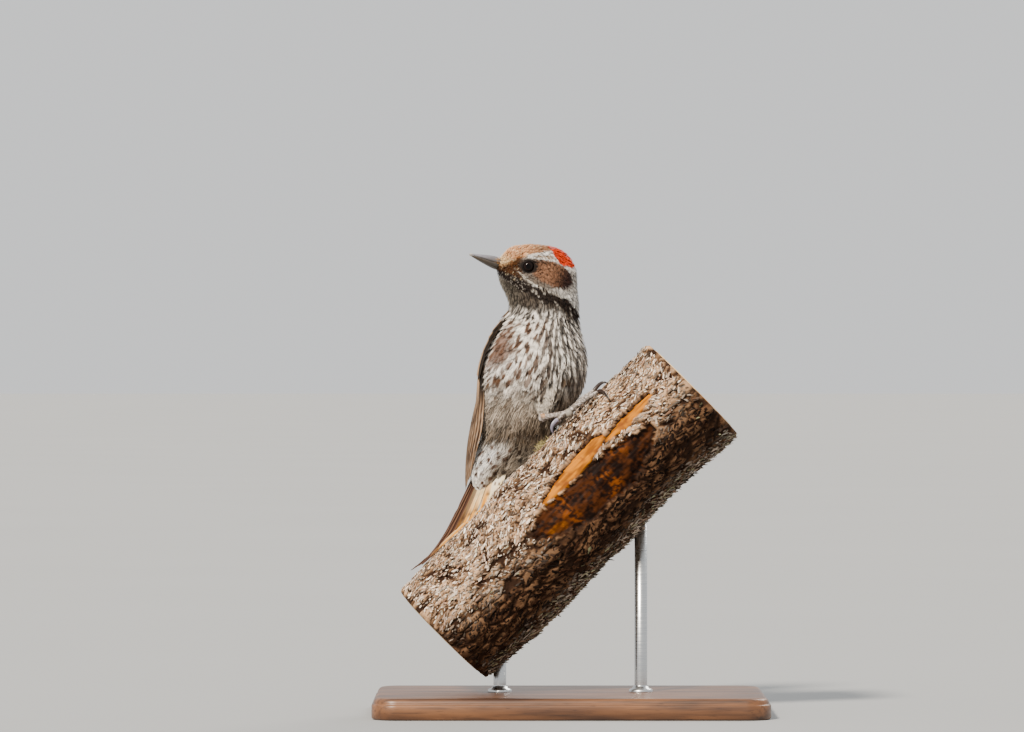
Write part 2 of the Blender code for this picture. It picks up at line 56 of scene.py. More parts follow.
PERCH_MIDDLE = np.array((0.0, 0.0, 95.4))
PERCH_TILT = math.radians(45)
PERCH_RADIUS = 29.2
PERCH_ENDS = (-83.5, 80.5)
PERCH_SWELLS = ((0.8, 115.0, 1), (0.5, 62.0, -2))           # height, length, turns round
PERCH_HUMP = (2.6, -15.0, 15.0, math.radians(12), 0.2)      # height, middle, length, turn, spread
ALONG = np.array((math.cos(PERCH_TILT), 0.0, math.sin(PERCH_TILT)))
OUT = np.array((-math.sin(PERCH_TILT), 0.0, math.cos(PERCH_TILT)))
NEAR = np.array((0.0, -1.0, 0.0))

# Level sections through the coat: height, middle X, middle Y, half width, half depth.
BODY_END = (-41.0, 14.6, 103.0)
BODY_SECTIONS = (
    (104.0, -40.9, 14.8, 3.4, 3.0),
    (107.0, -40.5, 15.5, 5.7, 5.2),
    (112.3, -38.8, 17.5, 8.9, 8.4),
    (118.4, -34.2, 20.0, 12.9, 11.9),
    (125.0, -29.6, 22.0, 16.0, 14.6),
    (132.0, -26.3, 22.5, 18.2, 16.8),
    (140.0, -23.0, 22.4, 21.0, 19.0),
    (150.0, -18.9, 21.6, 24.6, 21.6),
    (160.7, -17.0, 20.5, 25.3, 22.5),
    (169.2, -16.0, 19.5, 23.8, 21.2),
    (178.4, -14.9, 18.0, 20.3, 18.6),
    (185.7, -13.2, 16.6, 17.3, 15.8),
    (191.5, -12.3, 15.6, 16.2, 14.2),
    (199.4, -14.2, 15.0, 17.1, 13.0),
    (204.8, -15.6, 15.0, 18.5, 12.6),
    (209.5, -16.6, 15.0, 18.5, 12.2),
    (213.5, -17.0, 15.0, 16.5, 11.0),
    (216.5, -17.2, 15.0, 13.3, 9.3),
    (218.5, -18.0, 15.0, 8.5, 6.4),
)
CROWN = (-18.5, 15.0, 219.4)
TRUNK_TURN = 25.0                   # degrees from +X towards +Y of the side-to-side line
HEAD_TURN = 12.0
NECK_LOW = 187.0
NECK_HIGH = 199.0
HEAD_NARROWING = 0.2
FLUFF_RISE = 4.6                    # of the belly's left side, which spreads against the perch
FLUFF_ANGLE = math.radians(-43)
FLUFF_SPREAD = math.radians(25)
FLUFF_HEIGHTS = ((104, 113), (126, 142))
EYE_HEIGHT = 209.3
EYE_FORWARD = 5.2

BILL_BASE = np.array((-35.2, 11.3, 211.2))
BILL_TIP = np.array((-47.3, 8.7, 215.1))
BILL_ROOT = 4.5
BILL_DEPTH = 2.9
BILL_WIDTH = 2.8
BODY_RINGS = ((103.4, 112, 12), (112.8, 196, 100), (196.8, 218.5, 34))      # from height, to height, how many
BODY_SIDES = 96
THIGH_SIDES = 24
EYE_SIDES = 48
BRISTLES = 150                      # over the nostrils
LIMB_SIDES = 16
CLAW_RINGS = 20
CLAW_SIDES = 14
SCALE_LENGTH = 0.6                  # of the worn scales on shanks and toes

WING_FREE = 146.0
WING_TIP = 104.0
WING_TIP_SECTIONS = {"right": (-38.0, 20.0, 11.0, 9.0), "left": (-44.0, 25.5, 7.8, 7.8)}
WING_BOW = 1.6
WING_INNER_ANGLE = 7.0
WING_LOWER_EDGE = ((104, 92), (113, 101), (132, 105), (145, 97), (160, 90), (178, 84), (190, 78))
WING_TOP = ((0, 171), (0.4, 181), (0.75, 188), (1.0, 186.5))
WING_END = ((0, 129), (0.3, 124), (0.55, 117), (0.85, 104), (1.0, 109))
WING_TUCKS = {"right": 0.0, "left": 27.0}
WING_SIDES = {"right": -1, "left": 1}

TAIL_RIDGE = np.array((
    (-39.5, 22.5, 122.5), (-43.8, 20.0, 113.5), (-47.8, 17.0, 105.0), (-53.2, 13.5, 94.0),
    (-58.4, 10.0, 84.0), (-65.2, 7.0, 74.6), (-74.6, 5.0, 66.8),
))
TAIL_SIDE = np.array((0.30, -0.94, 0.10))
TAIL_SLOPE = math.radians(33)
TAIL_HALF_WIDTHS = ((0, 5.0), (0.2, 8.5), (0.5, 11.5), (0.8, 11.5), (1.0, 9.0))
TAIL_FEATHERS = 10
TAIL_OUTER_SHARE = 0.66

THIGHS = {
    "right": ((-9.0, 10.0, 153.5), (-11.2, 3.6, 146.0), (-13.0, -0.4, 139.8)),
    "left": ((-10.5, 20.5, 149.5), (-5.2, 25.6, 141.0), (-0.9, 30.4, 133.8)),
}
THIGH_RADII = (7.2, 5.4, 2.9)
ANKLES = {"right": (-13.4, -1.2, 138.4), "left": (-0.2, 31.4, 132.2)}
FOOT_PADS = {"right": (31.5, 11.0, 3.2), "left": (44.0, -65.0, 3.4)}
TOES = {                            # the end of each toe, and the tip of its claw
    "right": {
        1: ((25.5, -6.0, 2.4), (20.0, -9.0, 0.5)),
        2: ((48.0, 17.5, 2.4), (49.2, 39.0, 0.5)),
        3: ((47.6, 5.5, 2.6), (54.0, 9.0, 0.5)),
        4: ((25.6, 13.0, 4.4), (19.6, 15.5, 0.8)),
    },
    "left": {
        1: ((36.0, -60.0, 2.0), (30.5, -58.0, 0.5)),
        2: ((55.0, -53.0, 2.0), (61.0, -49.0, 0.5)),
        3: ((56.5, -68.0, 2.0), (62.8, -70.0, 0.5)),
        4: ((37.5, -84.0, 2.0), (32.5, -92.0, 0.5)),
    },
}


def read_curve(rows, at):
    """The values that go with each of at, on a smooth curve through rows sorted by their first value."""
    rows = np.asarray(rows, float)
    at = np.asarray(at, float)
    where = np.clip(np.searchsorted(rows[:, 0], at.ravel(), side="right") - 1, 0, len(rows) - 2)
    before, low = rows[np.maximum(where - 1, 0)], rows[where]
    high, after = rows[where + 1], rows[np.minimum(where + 2, len(rows) - 1)]
    span = high[:, :1] - low[:, :1]
    share = np.clip((at.ravel()[:, None] - low[:, :1]) / span, 0, 1)
    leave = (high - before) / (high[:, :1] - before[:, :1]) * span
    reach = (after - low) / (after[:, :1] - low[:, :1]) * span
    rise = high - low
    values = low + share * (leave + share * (
        3 * rise - 2 * leave - reach + share * (leave + reach - 2 * rise)))
    return values[:, 1:].reshape(at.shape + (rows.shape[1] - 1,))


def read_line(rows, at):
    return read_curve(rows, at)[..., 0]


def ease(value, start, end):
    share = np.clip((np.asarray(value, float) - start) / (end - start), 0, 1)
    return share * share * (3 - 2 * share)


def fade(value, start, end):
    """1 up to start, and 0 from end on."""
    return 1 - ease(value, start, end)


def hill(value, width):
    return np.exp(-(value / width) ** 2)


def mix(low, high, share):
    share = np.asarray(share, float)
    if np.ndim(low) > np.ndim(share) or np.ndim(high) > np.ndim(share):
        share = share[..., None]
    return low + (high - low) * share


def unit(vectors):
    return vectors / np.maximum(np.linalg.norm(vectors, axis=-1, keepdims=True), 1e-9)


def dot(a, b):
    return np.sum(a * b, axis=-1)


def circle(count):
    return np.linspace(0, 2 * math.pi, count, endpoint=False)


def wrapped(angle):
    """Angles in radians brought between -pi and pi."""
    return (angle + math.pi) % (2 * math.pi) - math.pi


def run_of(path):
    """How far along a path each of its points is."""
    return np.concatenate(([0], np.cumsum(np.linalg.norm(np.diff(path, axis=0), axis=1))))


def body_frame(height):
    """The directions across the body and towards its back, at each height."""
    turn = np.radians(TRUNK_TURN + (HEAD_TURN - TRUNK_TURN) * ease(height, NECK_LOW, NECK_HIGH))
    flat = np.zeros_like(turn)
    across = np.stack((np.cos(turn), np.sin(turn), flat), -1)
    return across, np.stack((-np.sin(turn), np.cos(turn), flat), -1)


def body_point(height, turn):
    """A point of the coat's outer surface; turn is 0 at the trunk's left and 90 degrees at its back."""
    x, y, width, depth = np.moveaxis(read_curve(BODY_SECTIONS, height), -1, 0)
    across, back = body_frame(height)
    face = 1 + HEAD_NARROWING * ease(height, NECK_HIGH, EYE_HEIGHT) * np.minimum(np.cos(turn), 0)
    grows, fades = FLUFF_HEIGHTS
    away = wrapped(turn - FLUFF_ANGLE)
    fluff = FLUFF_RISE * ease(height, *grows) * fade(height, *fades) * hill(away, FLUFF_SPREAD)
    middle = np.stack((x, y, height), -1)
    return (middle + across * ((width + fluff) * np.cos(turn))[..., None]
            + back * ((depth + fluff) * face * np.sin(turn))[..., None])


def body_turn(points):
    """Degrees round the body from the middle of the breast, + towards the bird's left."""
    x, y, width, depth = np.moveaxis(read_curve(BODY_SECTIONS, points[..., 2]), -1, 0)
    across, back = body_frame(points[..., 2])
    away = points - np.stack((x, y, points[..., 2]), -1)
    return np.degrees(np.arctan2(dot(away, across) / width, -dot(away, back) / depth))


def head_place(points):
    """Millimetres in front of the eyes, to the bird's right, and above the eyes."""
    x, y, _, _ = read_curve(BODY_SECTIONS, EYE_HEIGHT)
    across, back = body_frame(np.array(EYE_HEIGHT))
    away = points - np.array((x, y, EYE_HEIGHT))
    return -dot(away, across) - EYE_FORWARD, dot(away, back), away[..., 2]


def perch_radius(along, angle):
    height, middle, length, turn, spread = PERCH_HUMP
    hump = height * np.exp(-((along - middle) / length) ** 2 + (np.cos(angle - turn) - 1) / spread)
    return PERCH_RADIUS + hump + sum(h * np.sin(2 * math.pi * along / length + turns * angle)
                                     for h, length, turns in PERCH_SWELLS)


def perch_point(along, angle, height):
    along, angle = np.asarray(along, float), np.asarray(angle, float)
    away = np.cos(angle)[..., None] * OUT + np.sin(angle)[..., None] * NEAR
    return (PERCH_MIDDLE + along[..., None] * ALONG
            + away * (perch_radius(along, angle) + height)[..., None])


def on_perch(place):
    return perch_point(place[0], math.radians(place[1]), np.array(float(place[2])))


def perch_place(points):
    """Along the perch, the angle round it, and the height over its surface."""
    offset = points - PERCH_MIDDLE
    along = offset @ ALONG
    angle = np.arctan2(offset @ NEAR, offset @ OUT)
    return along, angle, np.hypot(offset @ NEAR, offset @ OUT) - perch_radius(along, angle)


# ---- making meshes ----

def grid_faces(rows, columns, closed=False, start=0):
    """Quads between a grid's points, row by row; a closed grid also joins its last column to its first."""
    i, j = np.meshgrid(np.arange(rows - 1), np.arange(columns - (not closed)), indexing="ij")
    after = (j + 1) % columns
    quads = np.stack((i * columns + j, i * columns + after,
                      (i + 1) * columns + after, (i + 1) * columns + j), -1)
    return quads.reshape(-1, 4) + start


def copied(faces, count, size):
    """The faces of count equal bodies one after another, each of size points."""
    shift = (np.arange(count) * size)[:, None, None]
    return [(some[None] + shift).reshape(-1, some.shape[1]) for some in faces]


def fan_faces(ring, tip, flip=False):
    around = np.stack((ring, np.roll(ring, -1), np.full(len(ring), tip)), -1)
    return around[:, ::-1] if flip else around


def put(name, data):
    """A new object in the scene."""
    made = bpy.data.objects.new(name, data)
    bpy.context.scene.collection.objects.link(made)
    return made


class Shape:
    """Points and faces gathered from many parts, made into one piece at the end."""

    def __init__(self):
        self.points, self.faces, self.colours, self.extras, self.count = [], {3: [], 4: []}, [], [], 0

    def add(self, points, faces, colours=(1.0, 1.0, 1.0), extra=None):
        points = np.asarray(points, float).reshape(-1, 3)
        self.points.append(points)
        self.colours.append(np.broadcast_to(np.reshape(colours, (-1, 3)), points.shape))
        self.extras.append(np.zeros_like(points) if extra is None else np.reshape(extra, (-1, 3)))
        for some in faces:
            self.faces[some.shape[1]].append(some + self.count)
        self.count += len(points)

    def tube(self, rings, colours=(1.0, 1.0, 1.0), start=None, end=None, extra=None):
        """A closed body through rings, each (sides, 3); both ends close on a point."""
        rings = np.asarray(rings, float)
        rows, sides = rings.shape[:2]
        start = rings[0].mean(0) if start is None else start
        end = rings[-1].mean(0) if end is None else end

        def with_ends(values):
            values = np.reshape(values, (-1, 3))
            return np.concatenate((values, values[:1], values[-1:]))
        points = np.concatenate((rings.reshape(-1, 3), [start, end]))
        last = np.arange(sides) + (rows - 1) * sides
        ends = (fan_faces(np.arange(sides), rows * sides, True), fan_faces(last, rows * sides + 1))
        self.add(points, (grid_faces(rows, sides, closed=True), *ends),
                 with_ends(colours) if np.ndim(colours) > 1 else colours,
                 None if extra is None else with_ends(extra))

    def mesh(self, name):
        return new_mesh(name, np.concatenate(self.points),
                        [np.concatenate(some) for some in self.faces.values() if some])

    def piece(self, name, finish, replaced=()):
        return new_piece(name, self.mesh(name), finish, replaced, np.concatenate(self.colours),
                         np.concatenate(self.extras))


def new_mesh(name, points, faces):
    mesh = bpy.data.meshes.new(name)
    corners = np.concatenate([some.ravel() for some in faces]).astype(np.int32)
    sizes = np.concatenate([np.full(len(some), some.shape[1]) for some in faces])
    starts = np.concatenate(([0], np.cumsum(sizes)[:-1])).astype(np.int32)
    mesh.vertices.add(len(points))
    mesh.loops.add(len(corners))
    mesh.polygons.add(len(starts))
    mesh.vertices.foreach_set("co", (np.asarray(points) * MM).astype(np.float32).ravel())
    mesh.loops.foreach_set("vertex_index", corners)
    mesh.polygons.foreach_set("loop_start", starts)
    mesh.polygons.foreach_set("use_smooth", np.ones(len(starts), bool))
    mesh.update(calc_edges=True)
    return mesh


def new_piece(name, mesh, finish, replaced, colours, extra=None, bake=None):
    """A mesh as a piece of the model, with its colours, its vane places and its own baking map."""
    mesh.materials.append(finish)
    layer = mesh.color_attributes.new("colour", "FLOAT_COLOR", "POINT")
    four = np.concatenate((colours, np.ones((len(colours), 1))), 1)
    layer.data.foreach_set("color", four.astype(np.float32).ravel())
    if extra is not None:
        layer = mesh.attributes.new("place", "FLOAT_VECTOR", "POINT")
        layer.data.foreach_set("vector", np.asarray(extra, np.float32).ravel())
    if bake is not None:
        corners = np.empty(len(mesh.loops), np.int32)
        mesh.loops.foreach_get("vertex_index", corners)
        layer = mesh.uv_layers.new(name="OFBake")
        layer.data.foreach_set("uv", bake[corners].astype(np.float32).ravel())
    made = put(name, mesh)
    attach(made, "root")
    if replaced:
        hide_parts(*replaced)
    return made


def remeshed(shape, voxel, smoothing):
    """One smooth closed surface round a shape's overlapping closed parts: its points and quads."""
    form = put("form", shape.mesh("form"))
    step = form.modifiers.new("union", "REMESH")
    step.mode = "VOXEL"
    step.voxel_size = voxel * MM
    step = form.modifiers.new("smooth", "SMOOTH")
    step.factor = 0.5
    step.iterations = smoothing
    bpy.context.view_layer.update()
    made = bpy.data.meshes.new_from_object(form.evaluated_get(bpy.context.evaluated_depsgraph_get()))
    bpy.data.objects.remove(form)
    out = np.empty(len(made.vertices) * 3)
    made.vertices.foreach_get("co", out)
    corners = np.empty(len(made.loops), np.int32)
    made.loops.foreach_get("vertex_index", corners)
    bpy.data.meshes.remove(made)
    return out.reshape(-1, 3) / MM, corners.reshape(-1, 4)


def point_normals(points, quads):
    face = np.cross(points[quads[:, 2]] - points[quads[:, 0]], points[quads[:, 3]] - points[quads[:, 1]])
    total = np.zeros_like(points)
    for k in range(4):
        np.add.at(total, quads[:, k], face)
    return unit(total)


# ---- colours and finishes ----

def linear(colour):
    """A #rrggbb colour as linear values."""
    values = np.array([int(colour[k:k + 2], 16) / 255 for k in (1, 3, 5)])
    return np.where(values <= 0.04045, values / 12.92, ((values + 0.055) / 1.055) ** 2.4)


def tint(low, high, share):
    """From one colour to another, each linear values or a #rrggbb, by a share for each point."""
    low, high = (linear(some) if isinstance(some, str) else some for some in (low, high))
    return low + (high - low) * np.asarray(share, float)[..., None]


def tints(colour, *layers):
    """A colour under layers, each a colour and its share."""
    for over, share in layers:
        colour = tint(colour, over, share)
    return colour


def covers(colour, *layers):
    """A colour under patches, each a colour, how far points lie outside it, and its edge's softness."""
    for over, gap, soft in layers:
        colour = tint(colour, over, fade(gap, -soft, soft))
    return colour


def add_node(tree, kind, inputs=None, out=0, **settings):
    """A node with its settings, as its output out. An input given as a socket is linked, one given as #rrggbb
    becomes that colour, and any other is set."""
    made = tree.nodes.new(kind)
    for name, value in settings.items():
        setattr(made, name, value)
    for name, value in (inputs or {}).items():
        if isinstance(value, bpy.types.NodeSocket):
            tree.links.new(value, made.inputs[name])
        else:
            made.inputs[name].default_value = (*linear(value), 1.0) if isinstance(value, str) else value
    return made.outputs[out]


def new_finish(name, **settings):
    """A material and its Principled shader, with the shader's plain sockets set."""
    made = bpy.data.materials.new(name)
    made.use_nodes = True
    shader = made.node_tree.nodes["Principled BSDF"]
    for socket, value in settings.items():
        shader.inputs[socket.replace("_", " ")].default_value = value
    return made, made.node_tree, shader


def pattern(tree, period, stretch=(1, 1, 1), detail=3.0, place=None, roughness=0.5):
    """Noise whose features are about period millimetres across, as a value round 0.5."""
    if place is None:
        place = add_node(tree, "ShaderNodeTexCoord", out="Object")
    place = add_node(tree, "ShaderNodeMapping", {"Vector": place, "Scale": stretch})
    return add_node(tree, "ShaderNodeTexNoise", {
        "Vector": place, "Scale": 1 / (period * MM), "Detail": detail, "Roughness": roughness}, "Fac")


def shifted(tree, colour, factor, amount):
    """The colour made lighter and darker by a value round 0.5; None is the piece's own painted colour."""
    if colour is None:
        colour = add_node(tree, "ShaderNodeAttribute", out="Color", attribute_name="colour")
    scale = add_node(tree, "ShaderNodeMapRange", {
        "Value": factor, "From Min": 0.25, "From Max": 0.75, "To Min": 1 - amount, "To Max": 1 + amount})
    return add_node(tree, "ShaderNodeVectorMath", {0: colour, 1: scale}, operation="MULTIPLY")


def grain_over(tree, colour, over, grain, low, high, most):
    """One colour with another over it, up to the share most, as the grain goes from low to high."""
    share = add_node(tree, "ShaderNodeMapRange", {
        "Value": grain, "From Min": low, "From Max": high, "To Min": 0, "To Max": most})
    return add_node(tree, "ShaderNodeMix", {0: share, 6: colour, 7: over}, 2, data_type="RGBA")


def place_in_piece(tree):
    """The place that each point has along and across its own feather or branch, in millimetres and metres."""
    place = add_node(tree, "ShaderNodeAttribute", out="Vector", attribute_name="place")
    return place, add_node(tree, "ShaderNodeVectorMath", {0: place, 1: (MM, MM, MM)}, operation="MULTIPLY")


def finish_with(tree, shader, colour, grain=None, rough=None, relief=None, depth=None):
    """Gives the shader its colour, a gloss that the grain moves between the two values of rough, and relief,
    of the grain unless it has one of its own, depth millimetres high."""
    tree.links.new(colour, shader.inputs["Base Color"])
    if rough:
        gloss = add_node(tree, "ShaderNodeMapRange", {
            "Value": grain, "From Min": 0.3, "From Max": 0.7, "To Min": rough[0], "To Max": rough[1]})
        tree.links.new(gloss, shader.inputs["Roughness"])
    if depth:
        height = grain if relief is None else relief
        bump = add_node(tree, "ShaderNodeBump", {"Height": height, "Distance": depth * MM, "Strength": 1.0})
        tree.links.new(bump, shader.inputs["Normal"])


def grained(name, period, amount, detail=4, rough=None, depth=None, roughness=0.5, broad=None, **settings):
    """A finish whose painted colour one fine grain lightens and darkens by amount.

    The same grain moves the gloss between the two values of rough and stands depth millimetres high. broad is
    the period and amount of a second, coarser mottling.
    """
    made, tree, shader = new_finish(name, **settings)
    grain = pattern(tree, period, detail=detail, roughness=roughness)
    if broad:
        mottling = pattern(tree, broad[0])
    colour = shifted(tree, None, grain, amount)
    if broad:
        colour = shifted(tree, colour, mottling, broad[1])
    finish_with(tree, shader, colour, grain, rough, depth=depth)
    return made


def flight_feather():
    """Stiff vanes: close barbs slant off the shaft at 0.45 mm, drawn coarse so that they show, and
    give a silky sheen along the web."""
    made, tree, shader = new_finish("flight_feather", Roughness=0.65, IOR=1.5, Specular_IOR_Level=0.1,
                                    Sheen_Weight=0.02, Sheen_Roughness=0.4)
    place, scaled = place_in_piece(tree)
    x, y, _ = add_node(tree, "ShaderNodeSeparateXYZ", {"Vector": place}).node.outputs
    x = add_node(tree, "ShaderNodeMath", {0: x}, operation="ABSOLUTE")
    slant = add_node(tree, "ShaderNodeMath", {0: y, 1: x}, operation="SUBTRACT")
    slant = add_node(tree, "ShaderNodeMath", {0: slant, 1: 2 * math.pi / BARB_GAP}, operation="MULTIPLY")
    barbs = add_node(tree, "ShaderNodeMath", {0: slant}, operation="SINE")
    wear = pattern(tree, 1.6, (1.0, 0.25, 1.0), detail=4, place=scaled)
    colour = shifted(tree, None, wear, 0.16)
    lit = add_node(tree, "ShaderNodeMapRange", {
        "Value": barbs, "From Min": -1, "From Max": 1, "To Min": 0.25, "To Max": 0.62})
    finish_with(tree, shader, shifted(tree, colour, lit, 0.12), barbs, depth=0.035)
    return made


def peeled_bast():
    """Fresh inner bark where the outer bark has come away: damp-looking fibres 0.5 mm apart along the
    branch, with a dull resin gloss."""
    made, tree, shader = new_finish("peeled_bast", Specular_IOR_Level=0.08)
    _, place = place_in_piece(tree)
    fibres = pattern(tree, 0.5, (0.12, 1.0, 1.0), detail=4, place=place)
    finish_with(tree, shader, shifted(tree, None, fibres, 0.16), fibres, (0.55, 0.75), depth=0.1)
    return made


def oiled_walnut():
    """Planed walnut under oil: dark grain lines 1.6 mm apart that run along the board, short open
    pores, and a satin gloss that dips in them."""
    made, tree, shader = new_finish("oiled_walnut", Specular_IOR_Level=0.45, Coat_Weight=0.15,
                                    Coat_Roughness=0.35)
    figure = pattern(tree, 9.0, (0.12, 1.0, 1.0), detail=3)
    grain = pattern(tree, 1.6, (0.05, 1.0, 1.0), detail=4)
    pores = pattern(tree, 0.5, (0.08, 1.0, 1.0), detail=2)
    colour = grain_over(tree, "#3d2515", "#7a5030", figure, 0.35, 0.65, 1)
    colour = grain_over(tree, colour, "#2a180d", grain, 0.52, 0.7, 0.75)
    colour = grain_over(tree, colour, "#1d1008", pores, 0.62, 0.72, 0.6)
    finish_with(tree, shader, colour, grain, (0.34, 0.48), pores, -0.05)
    return made


def brushed_steel():
    """Stainless rod polished in a lathe: fine turned lines 0.4 mm apart round it, and a broad soft gleam."""
    made, tree, shader = new_finish("brushed_steel", Metallic=1.0)
    lines = pattern(tree, 0.4, (0.04, 0.04, 1.0), detail=3)
    colour = add_node(tree, "ShaderNodeMix", {0: lines, 6: "#b9bbbd", 7: "#d3d4d3"}, 2, data_type="RGBA")
    finish_with(tree, shader, colour, lines, (0.24, 0.36), depth=0.01)
    return made


def studio_floor():
    """Matt painted board, a little darker than the backdrop so that both look alike under the lamps."""
    made, tree, shader = new_finish("studio_floor", Roughness=0.95, Specular_IOR_Level=0.05)
    mottling = pattern(tree, 400.0, detail=2)
    colour = add_node(tree, "ShaderNodeMix", {0: mottling, 6: "#9c9e9f", 7: "#a0a2a3"}, 2, data_type="RGBA")
    finish_with(tree, shader, colour)
    return made


BARB_GAP = 0.45                     # from barb to barb of a vane, in millimetres
# Down and contour feathers: keratin barbs too fine to see, so matt with a soft edge glow.
CONTOUR = grained("contour_feather", 2.6, 0.13, Roughness=0.85, IOR=1.45, Specular_IOR_Level=0.12,
                  Sheen_Weight=0.06, Sheen_Roughness=0.5)
FLIGHT = flight_feather()
# Thin skin over flesh: finely pored and a little waxy.
SKIN = grained("bare_skin", 0.7, 0.15, 3, depth=0.08, Roughness=0.7, Specular_IOR_Level=0.12)
# Dry horny scutes: pale bloom on their backs and painted shade in the joints, with a low wax gloss.
FOOT_SKIN = grained("scaled_foot_skin", 0.5, 0.2, rough=(0.42, 0.62), depth=0.06, Specular_IOR_Level=0.4)
# Grown keratin horn: long faint growth streaks and a polished, slightly clear surface.
HORN = {"depth": 0.04, "Specular_IOR_Level": 0.5, "IOR": 1.54, "Coat_Roughness": 0.25}
BILL_HORN = grained("bill_horn", 1.4, 0.16, rough=(0.27, 0.44), Coat_Weight=0.35, **HORN)
CLAW_HORN = grained("claw_horn", 0.9, 0.16, rough=(0.29, 0.46), Coat_Weight=0.2, **HORN)
# The glass eye of a mounted bird: painted iris under a clear, very smooth dome.
GLASS_EYE = grained("glass_eye", 0.35, 0.25, 3, Roughness=0.12, IOR=1.38, Specular_IOR_Level=0.15,
                    Coat_Weight=0.08, Coat_Roughness=0.03)
# Dead outer bark: dry corky flakes with no gloss, grey where weathered and red where fresh.
BARK = grained("pine_bark", 0.8, 0.22, 5, rough=(0.84, 0.98), depth=0.16, roughness=0.65, broad=(7.0, 0.1),
               Specular_IOR_Level=0.12)
BAST = peeled_bast()
# A sawn pine end: pale early wood, thin dark late wood, and the tool marks of the saw.
SAWN = grained("sawn_pine", 0.6, 0.14, rough=(0.6, 0.78), depth=0.12, Specular_IOR_Level=0.25)


# ---- the form of the coat, and the skin under it ----

def eye_middle(side):
    low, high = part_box("eye_left" if side < 0 else "eye_right")
    return np.array((low + high) / 2) / MM


EYES = {"left": eye_middle(-1), "right": eye_middle(1)}
EYE_RADIUS = float(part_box("eye_left")[1].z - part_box("eye_left")[0].z) / 2 / MM
EYE_OPENING = 2.55                  # radius of the dome that shows between the lids


def rings_round(path, radii, sides, flat=1.0, first_out=(0.0, 1.0, 0.0)):
    """Rings square to a path. radii is one row of radii for each ring; flat squeezes them sideways."""
    path = np.asarray(path, float)
    along = unit(np.gradient(path, axis=0))
    out = np.asarray(first_out, float)
    out = unit(out - along * (along @ out if out.ndim == 1 else dot(along, out))[:, None])
    side = np.cross(along, out)
    turns = circle(sides)
    radii = np.broadcast_to(np.asarray(radii, float).reshape(len(path), -1), (len(path), sides))
    return (path[:, None] + out[:, None] * (radii * np.cos(turns))[..., None]
            + side[:, None] * (radii * np.sin(turns) * flat)[..., None])


def smooth_path(points, count):
    """count places evenly along a smooth curve through the points."""
    points = np.asarray(points, float)
    steps = run_of(points)
    rows = np.column_stack((steps, points))
    return read_curve(rows, np.linspace(0, steps[-1], count))


def thigh_line(name, count=12):
    """The middle line of a thigh, and the thigh's radius along it."""
    return smooth_path(THIGHS[name], count), np.interp(np.linspace(0, 1, count), (0, 0.5, 1), THIGH_RADII)


def coat_form():
    """The coat's outer surface as one mesh: trunk, neck and head as one closed body, and the thighs."""
    heights = np.concatenate([np.linspace(*some) for some in BODY_RINGS])
    shape = Shape()
    rings = body_point(*np.meshgrid(heights, circle(BODY_SIDES), indexing="ij"))
    shape.tube(rings, start=BODY_END, end=CROWN)
    for name in THIGHS:
        path, radii = thigh_line(name)
        beyond = path[-1] + (path[-1] - path[-2]) * 0.2
        shape.tube(rings_round(path, radii, THIGH_SIDES), start=path[0], end=beyond)
    return remeshed(shape, FORM_VOXEL, FORM_SMOOTHING)


def thigh_share(points):
    """How far each point belongs to a thigh, and that thigh's direction there."""
    share, along = np.zeros(len(points)), np.zeros_like(points)
    for name in THIGHS:
        line, radii = thigh_line(name)
        directions = unit(np.gradient(line, axis=0))
        gaps = np.linalg.norm(points[:, None] - line[None], axis=2) - radii
        nearest = gaps.argmin(1)
        inside = fade(gaps.min(1), 0.5, 2.0)
        inside = inside * ease(nearest, 2, 5)
        along = np.where((inside > share)[:, None], directions[nearest], along)
        share = np.maximum(share, inside)
    return share, along


FORM_VOXEL = 0.8
FORM_SMOOTHING = 6
FILLING = 0.95                      # how far the coat stands out past the smoothed form
form_points, form_quads = coat_form()


def eye_gap(points):
    """The distance of each point from the line out through the nearer eye."""
    forward, side, up = head_place(points)
    near = np.minimum(np.linalg.norm(points - EYES["left"], axis=1),
                      np.linalg.norm(points - EYES["right"], axis=1))
    return np.where(np.abs(side) > 5, np.hypot(forward, up), near + 8)


def bill_gap(points):
    """The distance of each point in front of the bill's base from the bill's middle line."""
    line = unit(BILL_TIP - BILL_BASE)
    offset = points - (BILL_BASE - line * BILL_ROOT)
    along = offset @ line
    return np.where(along > -2, np.linalg.norm(offset - along[:, None] * line, axis=1), 99.0)


def shape_head(points, normals):
    """Hollows in front of and under the eye, and a brow and cheek that stand out."""
    forward, side, up = head_place(points)
    amount = np.zeros(len(points))
    sides = np.abs(side) > 4
    for f, u, size, rise in ((0.0, 0.0, 4.2, -0.7), (6.5, -0.5, 3.0, -0.5), (-1.0, 4.6, 2.6, 0.35),
                             (-9.0, -5.0, 5.0, 0.5), (8.0, -5.5, 3.2, 0.25)):
        amount += rise * np.exp(-((forward - f) ** 2 + (up - u) ** 2) / size ** 2) * sides
    open_coat = 1 - ease(np.abs(body_turn(points)), 78, 96) * fade(points[:, 2], 184, 192)
    clear = ease(np.minimum(eye_gap(points), bill_gap(points)), 4, 9) * ease(points[:, 2], 105, 116)
    amount += FILLING * open_coat * clear * (1 - thigh_share(points)[0])
    return points + normals * amount[:, None]


form_normals = point_normals(form_points, form_quads)
form_points = shape_head(form_points, form_normals)
form_normals = point_normals(form_points, form_quads)
form_tree = BVHTree.FromPolygons(form_points.tolist(), form_quads.tolist())
quad_normals = unit(form_normals[form_quads].mean(1))


def on_form(points):
    """The nearest points of the form, and its normals there."""
    places, normals = np.empty_like(points), np.empty_like(points)
    for k, point in enumerate(points.tolist()):
        place, _, quad, _ = form_tree.find_nearest(point)
        places[k] = place
        normals[k] = quad_normals[quad]
    return places, normals


